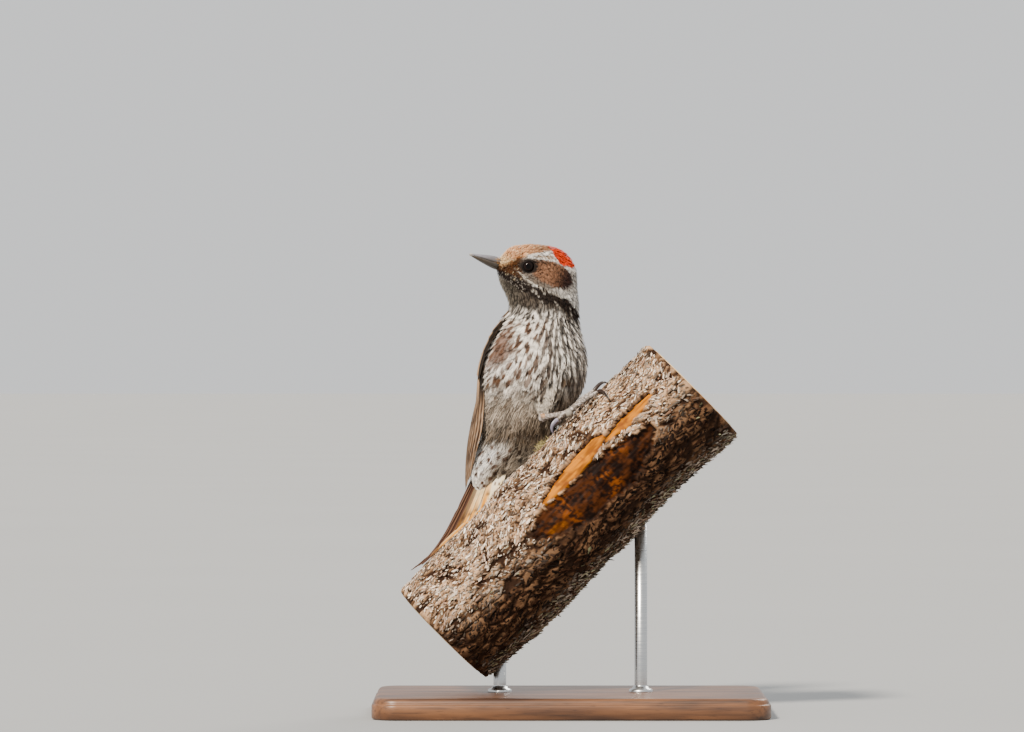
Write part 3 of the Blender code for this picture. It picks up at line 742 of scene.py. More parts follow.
def coat_depth(points):
    """How deep the skin lies under the tips of the coat."""
    depth = mix(3.0, 1.3, ease(points[:, 2], 186, 203))
    depth = mix(depth, 0.55, fade(eye_gap(points), 3.0, 6.5))
    depth = mix(depth, 0.5, fade(bill_gap(points), 2.8, 6.0))
    depth = mix(depth, 1.5, fade(points[:, 2], 106, 118))
    return mix(depth, 1.1, thigh_share(points)[0])


# ---- the markings, which the skin and the coat share ----

WHITE = linear("#faf6ef")
DARK_BROWN = linear("#1d120b")
# Places on the side of the head are millimetres in front of the eye and above it; a third number is the
# half width of a line there.
CROWN_EDGE = ((-26, 6.6), (-11.3, 7.0), (-6.5, 6.4), (-3, 5.6), (0, 4.6), (3, 3.6), (6, 1.4), (10, -0.9),
              (16, -1.6))
RED_EDGE = ((-26, -0.9), (-23, -0.7), (-18.5, -0.5), (-15, 1.2), (-13.3, 4.0), (-12.0, 7.0), (-10.8, 12))
RED_FRONT = -10.9
EAR = (-11.6, -4.2, 11.4, 5.7)      # its middle, half length and half depth
EAR_LEAN = math.radians(24)
MALAR = ((13.5, -2.6, 1.0), (9.0, -5.4, 1.9), (4.6, -8.2, 2.4), (0.2, -11.0, 2.5), (-4.1, -13.4, 2.4),
         (-8.5, -15.4, 2.4), (-12.9, -16.6, 2.5), (-17.2, -18.4, 2.6), (-21.6, -21.8, 2.5),
         (-26.0, -26.5, 2.0))
MOUSTACHE = ((5.0, -2.2, 0.3), (2.2, -4.9, 0.45), (-2.0, -8.6, 0.4), (-6.3, -11.8, 0.45), (-11.0, -13.6, 0.5),
             (-14.5, -14.6, 0.3))
BROW = ((-0.6, 4.6, 0.7), (-5.0, 4.9, 1.5), (-10.5, 4.5, 2.2), (-13.5, 3.6, 1.5))
WORN_BROW = ((-3.0, 4.6, 0.3), (-8.0, 4.0, 0.7), (-11.5, 4.0, 0.8))
EAR_TOP = ((-1.5, 2.0, 0.3), (-8.0, 1.3, 0.45), (-13.0, 0.2, 0.4))


def over_line(forward, up, line):
    """How far each place lies outside a line of changing half width."""
    places = np.stack((forward, up), -1)
    gap = np.full(len(places), 99.0)
    line = np.array(line)
    for start, end in zip(line, line[1:]):
        step = end[:2] - start[:2]
        share = np.clip((places - start[:2]) @ step / (step @ step), 0, 1)
        away = np.linalg.norm(places - start[:2] - share[:, None] * step, axis=1)
        gap = np.minimum(gap, away - (start[2] + (end[2] - start[2]) * share))
    return gap


def head_colour(points, wobble):
    forward, side, up = head_place(points)
    forward, up = forward + wobble[:, 0], up + wobble[:, 1]

    def gap(line):
        return over_line(forward, up, line)
    throat = tint("#575046", "#8c8478", ease(np.abs(side), 7, 1))
    face = np.maximum(1.8 - forward, -(up + 9.0 + 0.6 * (4 - forward)))
    colour = covers(WHITE, (throat, up + 6.6 + 0.5 * (9 - forward), 1.5), ("#543110", face, 1.2))
    dusky = ease(-forward, -7, 0) * ease(-up, 2.0, 5.0) * mix(0.95, 0.5, ease(-forward, 6, 13))
    colour = tint(colour, "#544a40", dusky)

    x, y, long, deep = EAR
    x, y, cos, sin = forward - x, up - y, math.cos(EAR_LEAN), math.sin(EAR_LEAN)
    ear = (np.hypot((x * cos + y * sin) / long, (y * cos - x * sin) / deep) - 1) * deep
    rim = tint(colour, "#74675b", mix(0.88, 0.35, ease(-forward, 6, 15)))
    ear_brown = tint("#8a6248", "#2b1610", ease(-forward - 0.5 * (up + 3), 10, 21))

    edge = read_line(CROWN_EDGE, forward) + 1.3 * ease(forward, 1, 5)
    crown = tints("#a67b5b", ("#dda476", ease(forward, -10, 4)),
                  ("#fddba6", ease(forward - 0.8 * up, 1.5, 8)),
                  ("#8a4f1c", fade(up - edge, 0.2, 2.2) * ease(forward, 0, 3) * 0.75))
    red = np.maximum(read_line(RED_EDGE, forward) - up, forward - RED_FRONT)
    return covers(
        colour, (rim, ear - 2.4, 1.0), (ear_brown, ear, 0.7), (crown, edge - up, 0.7),
        (WHITE, gap(BROW), 0.5), ("#998570", gap(WORN_BROW), 0.5), ("#3a2414", gap(EAR_TOP), 0.35),
        ("#1b110a", np.hypot((forward + 0.5) / 1.15, up) - 3.6, 0.8), ("#d6ccbd", gap(MOUSTACHE), 0.35),
        (DARK_BROWN, gap(MALAR), 0.7), ("#49301f", np.maximum(np.abs(side) - 3.0, forward + 19), 0.9),
        ("#cf3800", red, 0.2))


def trunk_colour(points, wobble):
    turn, height = body_turn(points) + wobble[:, 0] * 3, points[:, 2] + wobble[:, 1]
    flank = np.hypot((turn + 75) / 24, (height - 168) / 14.5)
    lower = fade(height - 3 * ease(turn, -45, 10), 125, 138)
    # The undertail is white, turning to a grey-brown painted shade towards its middle and the bird's left.
    shaded_undertail = tint("#fffaf2", "#857a6c", ease(turn, -45, 0))
    # A painted shade line in the crease where the belly meets the undertail coverts.
    crease_shade = hill(height - 128 - 0.06 * turn, 1.7) * ease(turn, -75, -50)
    band = hill(height - 160 - 0.08 * (turn + 60), 3.2) * fade(turn, -45, -20)
    return tints(
        "#fbf3e8", ("#70503f", 0.92 * fade(flank, 0.5, 1.2)), ("#c9baa8", fade(height, 140, 154)),
        ("#65543f", lower * 0.88), (shaded_undertail, fade(height, 120, 127)), ("#33281d", crease_shade * 0.65),
        (WHITE, band * 0.8), ("#4c3424", ease(np.abs(turn), 96, 108)))


def plain_coat(points, wobble=None):
    """The coat's colour between its small dark marks."""
    wobble = np.zeros((len(points), 2)) if wobble is None else wobble
    rear = ease(-head_place(points)[0], 13, 20)
    head = ease(points[:, 2] + 5.5 * rear, 184.5, 190.5)
    return tints(trunk_colour(points, wobble), (head_colour(points, wobble), head),
                 ("#e3d8c8", thigh_share(points)[0]))


# Each band of drops: lowest and highest row, step between rows; then spacing, length and half width, each
# on the bird's right and on its left.
DROP_BANDS = (
    (139.0, 191.0, 4.1, (3.6, 2.7), (5.8, 8.0), (1.0, 0.82)),
    (105.5, 124.0, 3.4, (3.6, 3.6), (2.7, 2.7), (1.0, 1.0)),
)


def drop_places():
    """The dark drops of the breast and the spots under the tail: middles, directions, sizes, strengths."""
    rng = np.random.default_rng(17)
    found = []
    for low, high, step, gaps, lengths, widths in DROP_BANDS:
        for height in np.arange(low, high, step):
            _, _, width, depth = read_curve(BODY_SECTIONS, np.array(height))
            radius = (width + depth) / 2
            turn = -96.0
            while turn < 98:
                left = float(ease(turn, -42, 0))
                gap = mix(*gaps, left) * (0.82 if height > 181 else 1.0)
                turn += math.degrees(gap / radius) * rng.uniform(0.62, 1.4)
                place = height + (0.5 * step if len(found) % 2 else 0.0) + rng.uniform(-1.5, 1.5)
                size = rng.uniform(0.68, 1.22) * (0.75 if height > 181 else 1.0)
                found.append((turn, place, mix(*lengths, left) * size * rng.uniform(0.85, 1.2),
                              mix(*widths, left) * size, left))
    turn, height, length, width, left = np.array(found).T
    middles, normals = on_form(body_point(height, np.radians(turn - 90)))
    askew = rng.normal(0, 0.22, len(middles)) * mix(1.0, 0.35, left)
    ways = turned(lie_of_coat(middles, normals), normals, askew)
    flank = np.hypot((turn + 75) / 22, (height - 168) / 12)
    strength = rng.uniform(0.8, 1.0, len(turn)) * mix(0.8, 1.0, ease(flank, 0.6, 1.2))
    low = ease(height - 12 * (1 - left), 136, 143)
    strength = strength * np.where(height > 125, low, 1.0) * fade(height, 187.5, 191)
    # Drops fainter low on the bird's left: a painted lightening of a side that falls in shade.
    strength = strength * (1 - 0.4 * left * ease(turn, 20, 45) * fade(height, 145, 160))
    return middles, normals, ways, length, width, left, strength


def drop_share(points):
    """How strongly each point is marked by the drop nearest to it, and how far left that drop is."""
    middles, normals, ways, length, width, left, strength = DROPS
    share, lean = np.zeros(len(points)), np.zeros(len(points))
    near = np.nonzero((points[:, 2] < 196) & (np.abs(body_turn(points)) < 112))[0]
    for some in np.array_split(near, max(len(near) // 20000, 1)):
        place = points[some]
        along = place @ ways.T - dot(middles, ways)
        whole = dot(place, place)[:, None] + dot(middles, middles) - 2 * place @ middles.T
        deep = place @ normals.T - dot(middles, normals)
        across = np.maximum(whole - along ** 2 - deep ** 2, 0) + np.where(np.abs(deep) > 4, 100, 0)
        nearest = np.argmin(across / width ** 2 + (2 * along / length) ** 2, axis=1)
        rows = np.arange(len(some))
        along, across = along[rows, nearest], np.sqrt(across[rows, nearest])
        s = np.clip(along / length[nearest] + 0.5, 0, 1)
        edge = width[nearest] * np.sin(math.pi * s ** 1.4) ** 0.6
        inside = fade(across - edge, -0.14, 0.14)
        share[some] = inside * strength[nearest] * (s > 0) * (s < 1)
        lean[some] = left[nearest]
    return share, lean


def coat_colour(points, plain):
    """The coat's colour with its dark drops over the plain one."""
    share, left = drop_share(points)
    dark = tint("#553319", "#1e130a", np.maximum(left, ease(points[:, 2], 182, 186)))
    return tint(plain, dark, share * 0.97)


def build_skin():
    points = form_points - form_normals * coat_depth(form_points)[:, None]
    shape = Shape()
    shape.add(points, (form_quads,), coat_colour(form_points, plain_coat(form_points)) * 0.7)
    for name, middle in EYES.items():
        add_lids(shape, middle, -1 if name == "left" else 1)
    return shape.piece("skin", SKIN, ("head", "neck", "trunk", "thigh_left", "thigh_right"))


LID_PROFILE = (                     # millimetres out from the opening, and over the eye's dome
    (0.0, 0.02), (0.05, 0.2), (0.25, 0.32), (0.5, 0.24), (0.8, 0.36), (1.15, 0.25), (1.5, -0.2),
    (1.3, -0.9), (0.6, -0.8), (0.1, -0.4),
)
LID_COLOURS = ("#080605", "#0b0807", "#191310", "#110d0b", "#1f1915", "#251d16", "#251d16", "#110d0b",
               "#110d0b", "#080605")
LID_SIDES = 72


def add_lids(shape, middle, side):
    """The two lids as one pleated rim round the eye, a little almond-shaped."""
    across, back = body_frame(np.array(EYE_HEIGHT))
    out, forward, up = back * side, -across, np.array((0.0, 0.0, 1.0))
    turns = circle(LID_SIDES)
    almond = 1 + 0.07 * np.cos(2 * turns) - 0.03 * np.sin(turns)
    rings = []
    for over, height in LID_PROFILE:
        reach = (EYE_OPENING + over) * almond * (1 + 0.012 * np.sin(turns * 24) * min(over, 1))
        dome = np.sqrt(np.maximum(EYE_RADIUS ** 2 - reach ** 2, 0))
        distance = dome + height - np.maximum(reach - EYE_RADIUS, 0) * 0.35
        rings.append(middle + out * distance[:, None] + forward * (reach * np.cos(turns))[:, None]
                     + up * (reach * np.sin(turns))[:, None])
    points = np.array(rings).reshape(-1, 3)
    last = np.arange(LID_SIDES) + len(points) - LID_SIDES
    first = np.arange(LID_SIDES)
    shut = np.stack((last, np.roll(last, -1), np.roll(first, -1), first), -1)
    colours = np.repeat(np.array([linear(c) for c in LID_COLOURS]), LID_SIDES, 0)
    shape.add(points, (grid_faces(len(LID_PROFILE), LID_SIDES, closed=True), shut), colours)


# ---- feathers ----

def lie_of_coat(points, normals):
    """The way the feathers point: back from the bill, over the head, and down the trunk and thighs."""
    from_bill = points - BILL_BASE
    gap = np.linalg.norm(from_bill, axis=1)
    height = points[:, 2]
    middles = read_curve(BODY_SECTIONS, height - 1)[:, :2] - read_curve(BODY_SECTIONS, height + 1)[:, :2]
    down = unit(np.column_stack((middles, np.full(len(points), -2.0))))
    across, back = body_frame(height)
    turn = np.radians(body_turn(points))
    round_body = across * np.cos(turn)[:, None] + back * np.sin(turn)[:, None]
    spread = 0.42 * np.sin(turn) * ease(height, 130, 150) * fade(height, 186, 196)
    way = mix(unit(from_bill), down, ease(gap, 13, 33)) + round_body * (spread)[:, None]
    share, along = thigh_share(points)
    way = mix(way, along, share)
    for middle in EYES.values():
        to_eye = middle - points
        distance = np.linalg.norm(to_eye, axis=1, keepdims=True)
        ahead = np.maximum(dot(way, to_eye / distance), 0) * fade(distance[:, 0], 3.5, 8.0)
        way = way - to_eye / distance * (ahead * 1.15)[:, None]
    return unit(way - normals * dot(way, normals)[:, None])


def scattered(rng, spacing, tries, wanted):
    """Places over the form, none closer than spacing(points) to another, where wanted(points) holds."""
    corners = form_points[form_quads]
    areas = np.linalg.norm(np.cross(corners[:, 2] - corners[:, 0], corners[:, 3] - corners[:, 1]), axis=1)
    middles = corners.mean(1)
    gaps = spacing(middles)
    weights = areas / gaps ** 2 * wanted(middles)
    chosen = rng.choice(len(areas), tries, p=weights / weights.sum())
    a, b = rng.random((2, tries, 1))
    points = ((corners[chosen, 0] * (1 - a) + corners[chosen, 1] * a) * (1 - b)
              + (corners[chosen, 3] * (1 - a) + corners[chosen, 2] * a) * b)
    points = points[wanted(points)]
    gaps = spacing(points)
    cell = gaps.max()
    kept, cells = [], {}
    places = np.floor(points / cell).astype(int).tolist()
    for k, (point, gap) in enumerate(zip(points.tolist(), gaps.tolist())):
        i, j, m = places[k]
        near = (cells.get((i + di, j + dj, m + dm), ()) for di in (-1, 0, 1) for dj in (-1, 0, 1)
                for dm in (-1, 0, 1))
        if any((x - point[0]) ** 2 + (y - point[1]) ** 2 + (z - point[2]) ** 2 < gap * gap
               for some in near for x, y, z in some):
            continue
        cells.setdefault((i, j, m), []).append(point)
        kept.append(k)
    return points[kept]


def turned(vectors, normals, angles):
    """Vectors turned about the normals by angles in radians."""
    return (vectors * np.cos(angles)[:, None] + np.cross(normals, vectors) * np.sin(angles)[:, None])


DROPS = drop_places()


def follow_coat(roots, lengths, swerve, steps=5):
    """Paths along the coat from each root, with the form's normals there."""
    places, normals = on_form(roots)
    paths, ups = [places], [normals]
    for _ in range(steps):
        way = turned(lie_of_coat(places, normals), normals, swerve)
        ahead = places + way * (lengths / steps)[:, None]
        found, normals = on_form(ahead)
        slip = np.linalg.norm(found - ahead, axis=1) > 0.45 * lengths / steps
        places = np.where(slip[:, None], ahead, found)
        paths.append(places)
        ups.append(normals)
    return np.stack(paths, 1), np.stack(ups, 1)


def along_path(paths, shares):
    """Values on each path (count, steps + 1, 3) at shares (count, ...)."""
    steps = paths.shape[1] - 1
    at = np.clip(shares, 0, 1) * steps
    low = np.minimum(at.astype(int), steps - 1)
    part = (at - low)[..., None]
    rows = np.arange(len(paths)).reshape((-1,) + (1,) * (shares.ndim - 1))
    return paths[rows, low] * (1 - part) + paths[rows, low + 1] * part


LOCK_RINGS = np.array((0.0, 0.3, 0.52, 0.7, 0.86, 1.0))      # along each lock; the last is its tip
LOCK_TAPER = np.array((0.75, 1.0, 1.0, 0.82, 0.5))
BAKE_PATCH = 0.003                  # size of a feather on its piece's baking map
MOST_TRIANGLES = 190000             # in one piece of the coat


def per_point(values):
    """Values for the rings of locks, repeated for the three points of each ring and once for the tip."""
    return np.concatenate((np.repeat(values[:, :, :-1], 3, 2), values[:, :, -1:]), 2)


def lock_points(rng, roots, lengths, widths, strands, lift, swerve, loose):
    """Each lock's middle line and points, their places across and along the feather, and its shaft's path."""
    count = len(roots)

    def chance():
        return rng.normal(0, 1, (count, strands))
    lengths = lengths * rng.uniform(0.85, 1.12, count)
    widths = (widths * rng.uniform(0.85, 1.15, count))[:, None, None]
    paths, ups = follow_coat(roots, lengths, rng.normal(0, swerve, count))
    sides = unit(np.cross(unit(np.gradient(paths, axis=1)), ups))
    c = np.linspace(-1, 1, strands) + rng.normal(0, 0.25 / strands, (count, strands))
    ragged = (0.09 + 0.2 * loose) * np.abs(chance())
    ends = np.sqrt(1 - 0.55 * np.minimum(c ** 2, 1)) * np.maximum(1 - ragged, 0.3)
    u = ends[..., None] * LOCK_RINGS
    reach = c[..., None] * widths * (0.3 + 0.7 * np.sin(LOCK_RINGS * math.pi / 2) ** 0.8)
    middle = along_path(paths, u)
    up, side = unit(along_path(ups, u)), unit(along_path(sides, u))
    depth = mix((coat_depth(roots) * 0.96)[:, None, None], -lift[:, None, None], u ** 0.75)
    arch = 0.14 * widths * (c ** 2)[..., None]
    wave = ((0.05 + 0.4 * loose) * chance())[..., None] * LOCK_RINGS
    reach = reach + ((0.35 * loose) * chance())[..., None] * LOCK_RINGS ** 2
    middle = middle + side * reach[..., None] - up * (depth + arch - wave)[..., None]
    half = (widths / strands * 1.42 * (1 - 0.42 * loose)[..., None]) * LOCK_TAPER
    half = half * rng.uniform(0.8, 1.15, (count, strands, 1))
    body = middle[:, :, :-1]
    across = side[:, :, :-1] * half[..., None]
    ridge = up[:, :, :-1] * (half * 0.45)[..., None]
    rows = np.stack((body - across, body + ridge, body + across), 3)
    points = np.concatenate((rows.reshape(count, strands, -1, 3), middle[:, :, -1:]), 2)
    return middle, points, c[..., None] * np.ones(len(LOCK_RINGS)), u, paths


def lock_colours(rng, middle, c, u, tips, mark, loose):
    """Colours of the locks' points: a tone for each feather and each lock, darker towards the roots."""
    count, strands = middle.shape[:2]
    tone = (0.07 + 0.12 * loose[..., None]) * rng.normal(0, 1, (count, 1, 1))
    tone = tone + (0.03 + 0.17 * loose[..., None]) * rng.normal(0, 1, (count, strands, 1))
    near_ends = middle[:, :, -2].reshape(-1, 3)
    plain = plain_coat(near_ends, np.repeat(rng.normal(0, 0.18, (count, 2)), strands, 0))
    plain = mark(rng, c, u, plain.reshape(count, strands, 1, 3), tips)
    plain = np.broadcast_to(plain, middle.shape)
    colour = coat_colour(middle.reshape(-1, 3), plain.reshape(-1, 3)).reshape(middle.shape)
    return per_point(np.clip(colour * (1 + tone - 0.25 * (1 - u) ** 2)[..., None], 0, 1))


def add_feathers(rng, name, roots, lengths, widths, strands, lift, mark, swerve, loose=0.0):
    """Closed feathers, each a fan of flat tapering locks that leave one shaft, in one or more pieces.

    lift is the height of each tip over the form, loose is how far its locks part, from sleek (0) to downy
    (1), and mark gives the colours of places across and along each feather, from the coat's colour where
    each lock ends and where the feather's tip is.
    """
    loose = np.broadcast_to(loose, len(roots))[:, None]
    lift = np.broadcast_to(lift, len(roots))
    middle, points, c, u, paths = lock_points(rng, roots, lengths, widths, strands, lift, swerve, loose)
    colour = lock_colours(rng, middle, c, u, paths[:, 4], mark, loose)
    turn = (body_turn(roots) / 360) % 1
    rise = (roots[:, 2] - BODY_END[2]) / (CROWN[2] - BODY_END[2])
    bake = per_point(np.stack((turn[:, None, None] + (c / 2) * BAKE_PATCH,
                               rise[:, None, None] + (u - 0.5) * BAKE_PATCH), -1))
    tip = points.shape[2] - 1
    triangles = np.concatenate((fan_faces(np.arange(3) + tip - 3, tip), [[2, 1, 0]]))
    quads = grid_faces(tip // 3, 3, closed=True)
    parts = math.ceil(len(roots) * strands * (len(quads) * 2 + len(triangles)) / MOST_TRIANGLES)
    for k, some in enumerate(np.array_split(np.argsort(turn, kind="stable"), parts)):
        label = name if parts == 1 else f"{name}_{k + 1}"
        faces = copied((triangles, quads), len(some) * strands, tip + 1)
        new_piece(label, new_mesh(label, points[some].reshape(-1, 3), faces), CONTOUR, (),
                  colour[some].reshape(-1, 3), bake=bake[some].reshape(-1, 2))


def wing_place(points, name, section):
    """Each point's angle from the back in degrees, the angle of the wing's edge, and the share between."""
    x, y, width, depth = section
    across, back = body_frame(points[:, 2])
    away = points - np.column_stack((x, y, points[:, 2]))
    angle = np.degrees(np.arctan2(dot(away, across) * WING_SIDES[name] / width, dot(away, back) / depth))
    edge = read_line(WING_LOWER_EDGE, points[:, 2]) - WING_TUCKS[name]
    return angle, edge, (angle - WING_INNER_ANGLE) / (edge - WING_INNER_ANGLE)


def under_wing(points):
    """Where a wing lies over the body."""
    section = np.moveaxis(read_curve(BODY_SECTIONS, points[:, 2]), -1, 0)
    covered = np.zeros(len(points), bool)
    for name in WING_SIDES:
        angle, edge, share = wing_place(points, name, section)
        share = np.clip(share, 0, 1)
        top = read_line(WING_TOP, share)
        covered |= ((angle > WING_INNER_ANGLE + 6) & (angle < edge - 12)
                    & (points[:, 2] < top - 7) & (points[:, 2] > read_line(WING_END, share) + 8))
    return covered


def drop_mark(c, u, low, high, width):
    """A drop-shaped mark along a feather's shaft, as a share of its colour."""
    share = np.clip((u - low) / (high - low), 0, 1)
    return fade(np.abs(c) - width * np.sin(math.pi * share) ** 0.7, -0.09, 0.09)


def head_marks(rng, c, u, base, tips):
    """Dark shaft streaks on the throat and face, and golden tips on the forehead and crown."""
    forward, _, up = head_place(tips)

    def chosen(chance):
        return rng.random(len(tips)) < chance
    throat = (up < -5.5 - 0.4 * (9 - forward)) & (forward > -16)
    face = (forward > 1.5) & (up < 0.5) & ~throat
    streaked = (throat & chosen(0.8)) | (face & chosen(0.5))
    streak = drop_mark(c, u, 0.2, 1.0, 0.34) * streaked[:, None, None]
    colour = tint(base, "#1f140b", streak * 0.85)
    low = (up < -2) & ((forward > -3) | (up < -8 + 0.5 * forward))
    speck = (base[:, :, 0, 0].mean(1) < 0.06) & low & chosen(mix(0.2, 0.4, forward > -5))
    fleck = speck[:, None, None] * ease(u, 0.5, 0.9) * fade(np.abs(c), 0.3, 0.7)
    colour = tint(colour, "#cfc6ba", fleck * 0.8)
    _, green, blue = base[:, :, 0].mean(1).T
    gold = (forward > -9) & (up > 1.0) & (green > 0.08) & (blue < 0.3)
    gold = (gold & chosen(mix(0.16, 0.5, ease(forward, -4, 6)))) | (face & ~streaked & chosen(0.3))
    colour = tint(colour, "#f6e2ba", gold[:, None, None] * ease(u, 0.45, 0.9) * 0.7)
    bright = base[:, :, 0, 2].mean(1)
    cheek = (forward < 1) & (up < -4) & ~throat & (bright > 0.12) & (bright < 0.6)
    pale = cheek * rng.random(len(tips)) ** 5
    colour = tint(colour, WHITE, pale[:, None, None] * ease(u, 0.3, 0.8) * 0.75)
    dark = ((up > -9) & chosen(0.55)) * mix(0.85, 0.6, ease(bright, 0.2, 0.7))
    return tint(colour, colour * (0.5, 0.45, 0.42), drop_mark(c, u, 0.1, 0.95, 0.35) * dark[:, None, None])


def breast_marks(rng, c, u, base, tips):
    """Soft bars on the belly, and pale tips."""
    turn, height = body_turn(tips), tips[:, 2]
    front = fade(np.abs(turn), 88, 104)
    bars = 0.5 + 0.5 * np.sin(2 * math.pi * (u * 2.3 + rng.uniform(-0.08, 0.08, len(tips))[:, None, None]))
    belly = front * fade(height, 126, 140) * ease(height, 121, 128) * rng.uniform(0.3, 0.75, len(tips))
    mottled = front * fade(height, 152, 162) * ease(height, 130, 138) * rng.random(len(tips))
    pale = front * fade(height, 150, 162) * rng.random(len(tips)) ** 2
    return tints(
        base, ("#49382a", bars * belly[:, None, None]),
        ("#56432f", mottled[:, None, None] * drop_mark(c, u, 0.3, 1.0, 0.7)),
        ("#f6efe5", pale[:, None, None] * ease(u, 0.6, 1.0) * 0.7))


def thigh_marks(rng, c, u, base, tips):
    bars = 0.5 + 0.5 * np.sin(2 * math.pi * u * 1.6)
    return tint(base, "#5b4b39", bars * rng.uniform(0.1, 0.75, len(tips))[:, None, None])


def face_share(points):
    """How far each point belongs to the short feathers of the face."""
    forward, _, up = head_place(points)
    front = ease(forward - 0.35 * np.minimum(up + 4, 0), 1.5, 6)
    return np.maximum(front, fade(eye_gap(points), 4.0, 7.0)) * (points[:, 2] > 199)


def build_coat():
    """All the contour feathers, smallest on the face."""
    rng = np.random.default_rng(11)

    def on_head(points, face):
        here = (face_share(points) > 0.5) == face
        clear = (eye_gap(points) > EYE_OPENING + 0.75) & (bill_gap(points) > 2.1)
        return here & clear & (points[:, 2] > 189)

    def on_thigh(points):
        return thigh_share(points)[0] > 0.5

    def on_body(points):
        return (points[:, 2] <= 191) & ~on_thigh(points) & ~under_wing(points)

    def body_spacing(points):
        height = points[:, 2]
        return mix(1.7, 2.3, ease(height, 106, 135)) * mix(1.0, 0.85, ease(height, 176, 188))

    roots = scattered(rng, lambda p: mix(0.95, 0.7, face_share(p)), 34000, lambda p: on_head(p, True))
    lengths = mix(1.7, 2.7, ease(np.minimum(eye_gap(roots), bill_gap(roots)), 3.2, 8))
    add_feathers(rng, "face_feathers", roots, lengths, lengths * 0.24, 5, 0.12, head_marks,
                 0.16, 0.15)

    roots = scattered(rng, lambda p: mix(1.1, 1.8, ease(200 - p[:, 2], 0, 10)), 28000,
                      lambda p: on_head(p, False))
    nape = ease(200 - roots[:, 2], -6, 10)
    add_feathers(rng, "head_feathers", roots, mix(3.6, 6.5, nape), mix(0.8, 1.5, nape), 9, 0.15,
                 head_marks, 0.14)

    roots = scattered(rng, body_spacing, 24000, on_body)
    height, turn = roots[:, 2], body_turn(roots)
    lengths = np.minimum(mix(9.5, 7.0, ease(height, 172, 188)), mix(4.0, 10.0, ease(height, 104, 122)))
    edge = fade(np.abs(height - 163), 4, 10) * ease(-turn, -5, 30) * fade(-turn, 80, 100)
    over_wing = ease(np.abs(turn), 88, 100) * ease(height, 160, 175)
    lift = 0.15 + 0.9 * edge + 2.3 * over_wing + 0.35 * fade(height, 125, 150)
    add_feathers(rng, "body_feathers", roots, lengths, mix(1.4, 2.15, ease(lengths, 4, 9)), 13,
                 lift, breast_marks, np.where(height < 152, 0.22, 0.1),
                 0.9 * fade(height, 140, 160) * ease(height, 112, 122))

    roots = scattered(rng, lambda p: np.full(len(p), 1.5), 5000, on_thigh)
    add_feathers(rng, "thigh_feathers", roots, 4.6, 1.05, 9, 0.25, thigh_marks, 0.2, 0.6)


# ---- vanes: the stiff feathers of wings and tail ----

VANE_ROWS = 22
VANE_COLUMNS = 9


def add_vane(shape, path, ups, left, right, colour, thick=0.16, shaft=0.22, point=0.25, splits=(), arch=0.1):
    """One closed feather: a thin curved web on both sides of a raised shaft.

    path and ups are (rows, 3). left and right are the half widths of the two webs; point is the share of
    its length over which it narrows to its tip, and splits are places where the web has parted.
    colour(across, along, rows) gives the colours of its points.
    """
    rows = len(path)
    along = np.linspace(0, 1, rows)
    length = np.linalg.norm(np.diff(path, axis=0), axis=1).sum()
    ways = unit(np.gradient(path, axis=0))
    sides = unit(np.cross(ways, ups))
    left_over = np.clip((1 - along) / point, 0, 1)
    profile = np.maximum(ease(along, -0.12, 0.3) * np.sqrt(left_over * (2 - left_over)), 0.02)
    c = np.tile(np.linspace(-1, 1, VANE_COLUMNS), (rows, 1))
    reach = np.where(c < 0, left, right) * profile[:, None] * c
    for place, which, size in splits:
        parted = hill(along - place, 0.02)[:, None] * (np.sign(c) == which)
        reach = reach * (1 - parted * size * np.abs(c) ** 3)
    widest = max(left, right)
    drop = arch * widest * (reach / widest) ** 2 * 1.6
    stem = shaft * np.exp(-(c * 6) ** 2) * (1 - 0.75 * along)[:, None]
    top = path[:, None] + sides[:, None] * reach[..., None] + ups[:, None] * (stem - drop)[..., None]
    edge = 1 - 0.7 * np.abs(c) ** 2
    under = path[:, None] + sides[:, None] * reach[..., None] - ups[:, None] * (
        drop + thick * edge * np.clip((1 - along) * 6, 0.25, 1)[:, None] + 0.4 * stem)[..., None]
    columns = VANE_COLUMNS
    count = rows * columns
    quads = grid_faces(rows, columns)
    below = grid_faces(rows, columns, start=count)[:, ::-1]
    rim = np.concatenate((np.arange(columns), np.arange(1, rows) * columns + columns - 1,
                          (rows - 1) * columns + np.arange(columns - 2, -1, -1),
                          np.arange(rows - 2, 0, -1) * columns))
    wall = np.stack((rim, rim + count, np.roll(rim, -1) + count, np.roll(rim, -1)), -1)
    shades = colour(c, np.broadcast_to(along[:, None], c.shape))
    place = np.stack((reach, np.broadcast_to(along[:, None] * length, c.shape), np.zeros_like(c)), -1)
    shape.add((top, under), (quads, below, wall), (shades, shades * 0.85), (place, place))


def wing_section(height, name):
    x, y, width, depth = np.moveaxis(read_curve(BODY_SECTIONS, np.maximum(height, WING_FREE)), -1, 0)
    share = np.clip((WING_FREE - height) / (WING_FREE - WING_TIP), 0, 1)
    tip_x, tip_y, tip_width, tip_depth = WING_TIP_SECTIONS[name]
    bow = WING_BOW * np.sin(math.pi * share)
    return (x + (tip_x - x) * share, y + (tip_y - y) * share,
            width + (tip_width - width) * share + bow, depth + (tip_depth - depth) * share + bow)


def wing_point(name, share, height, rise):
    """A point over the wing: share runs from the middle of the back to the wing's lower edge."""
    x, y, width, depth = wing_section(height, name)
    across, back = body_frame(height)
    edge = read_line(WING_LOWER_EDGE, height) - WING_TUCKS[name]
    angle = np.radians(WING_INNER_ANGLE + (edge - WING_INNER_ANGLE) * share)
    middle = np.stack((x, y, height), -1)
    return (middle + across * (WING_SIDES[name] * (width + rise) * np.sin(angle))[..., None]
            + back * ((depth + rise) * np.cos(angle))[..., None])


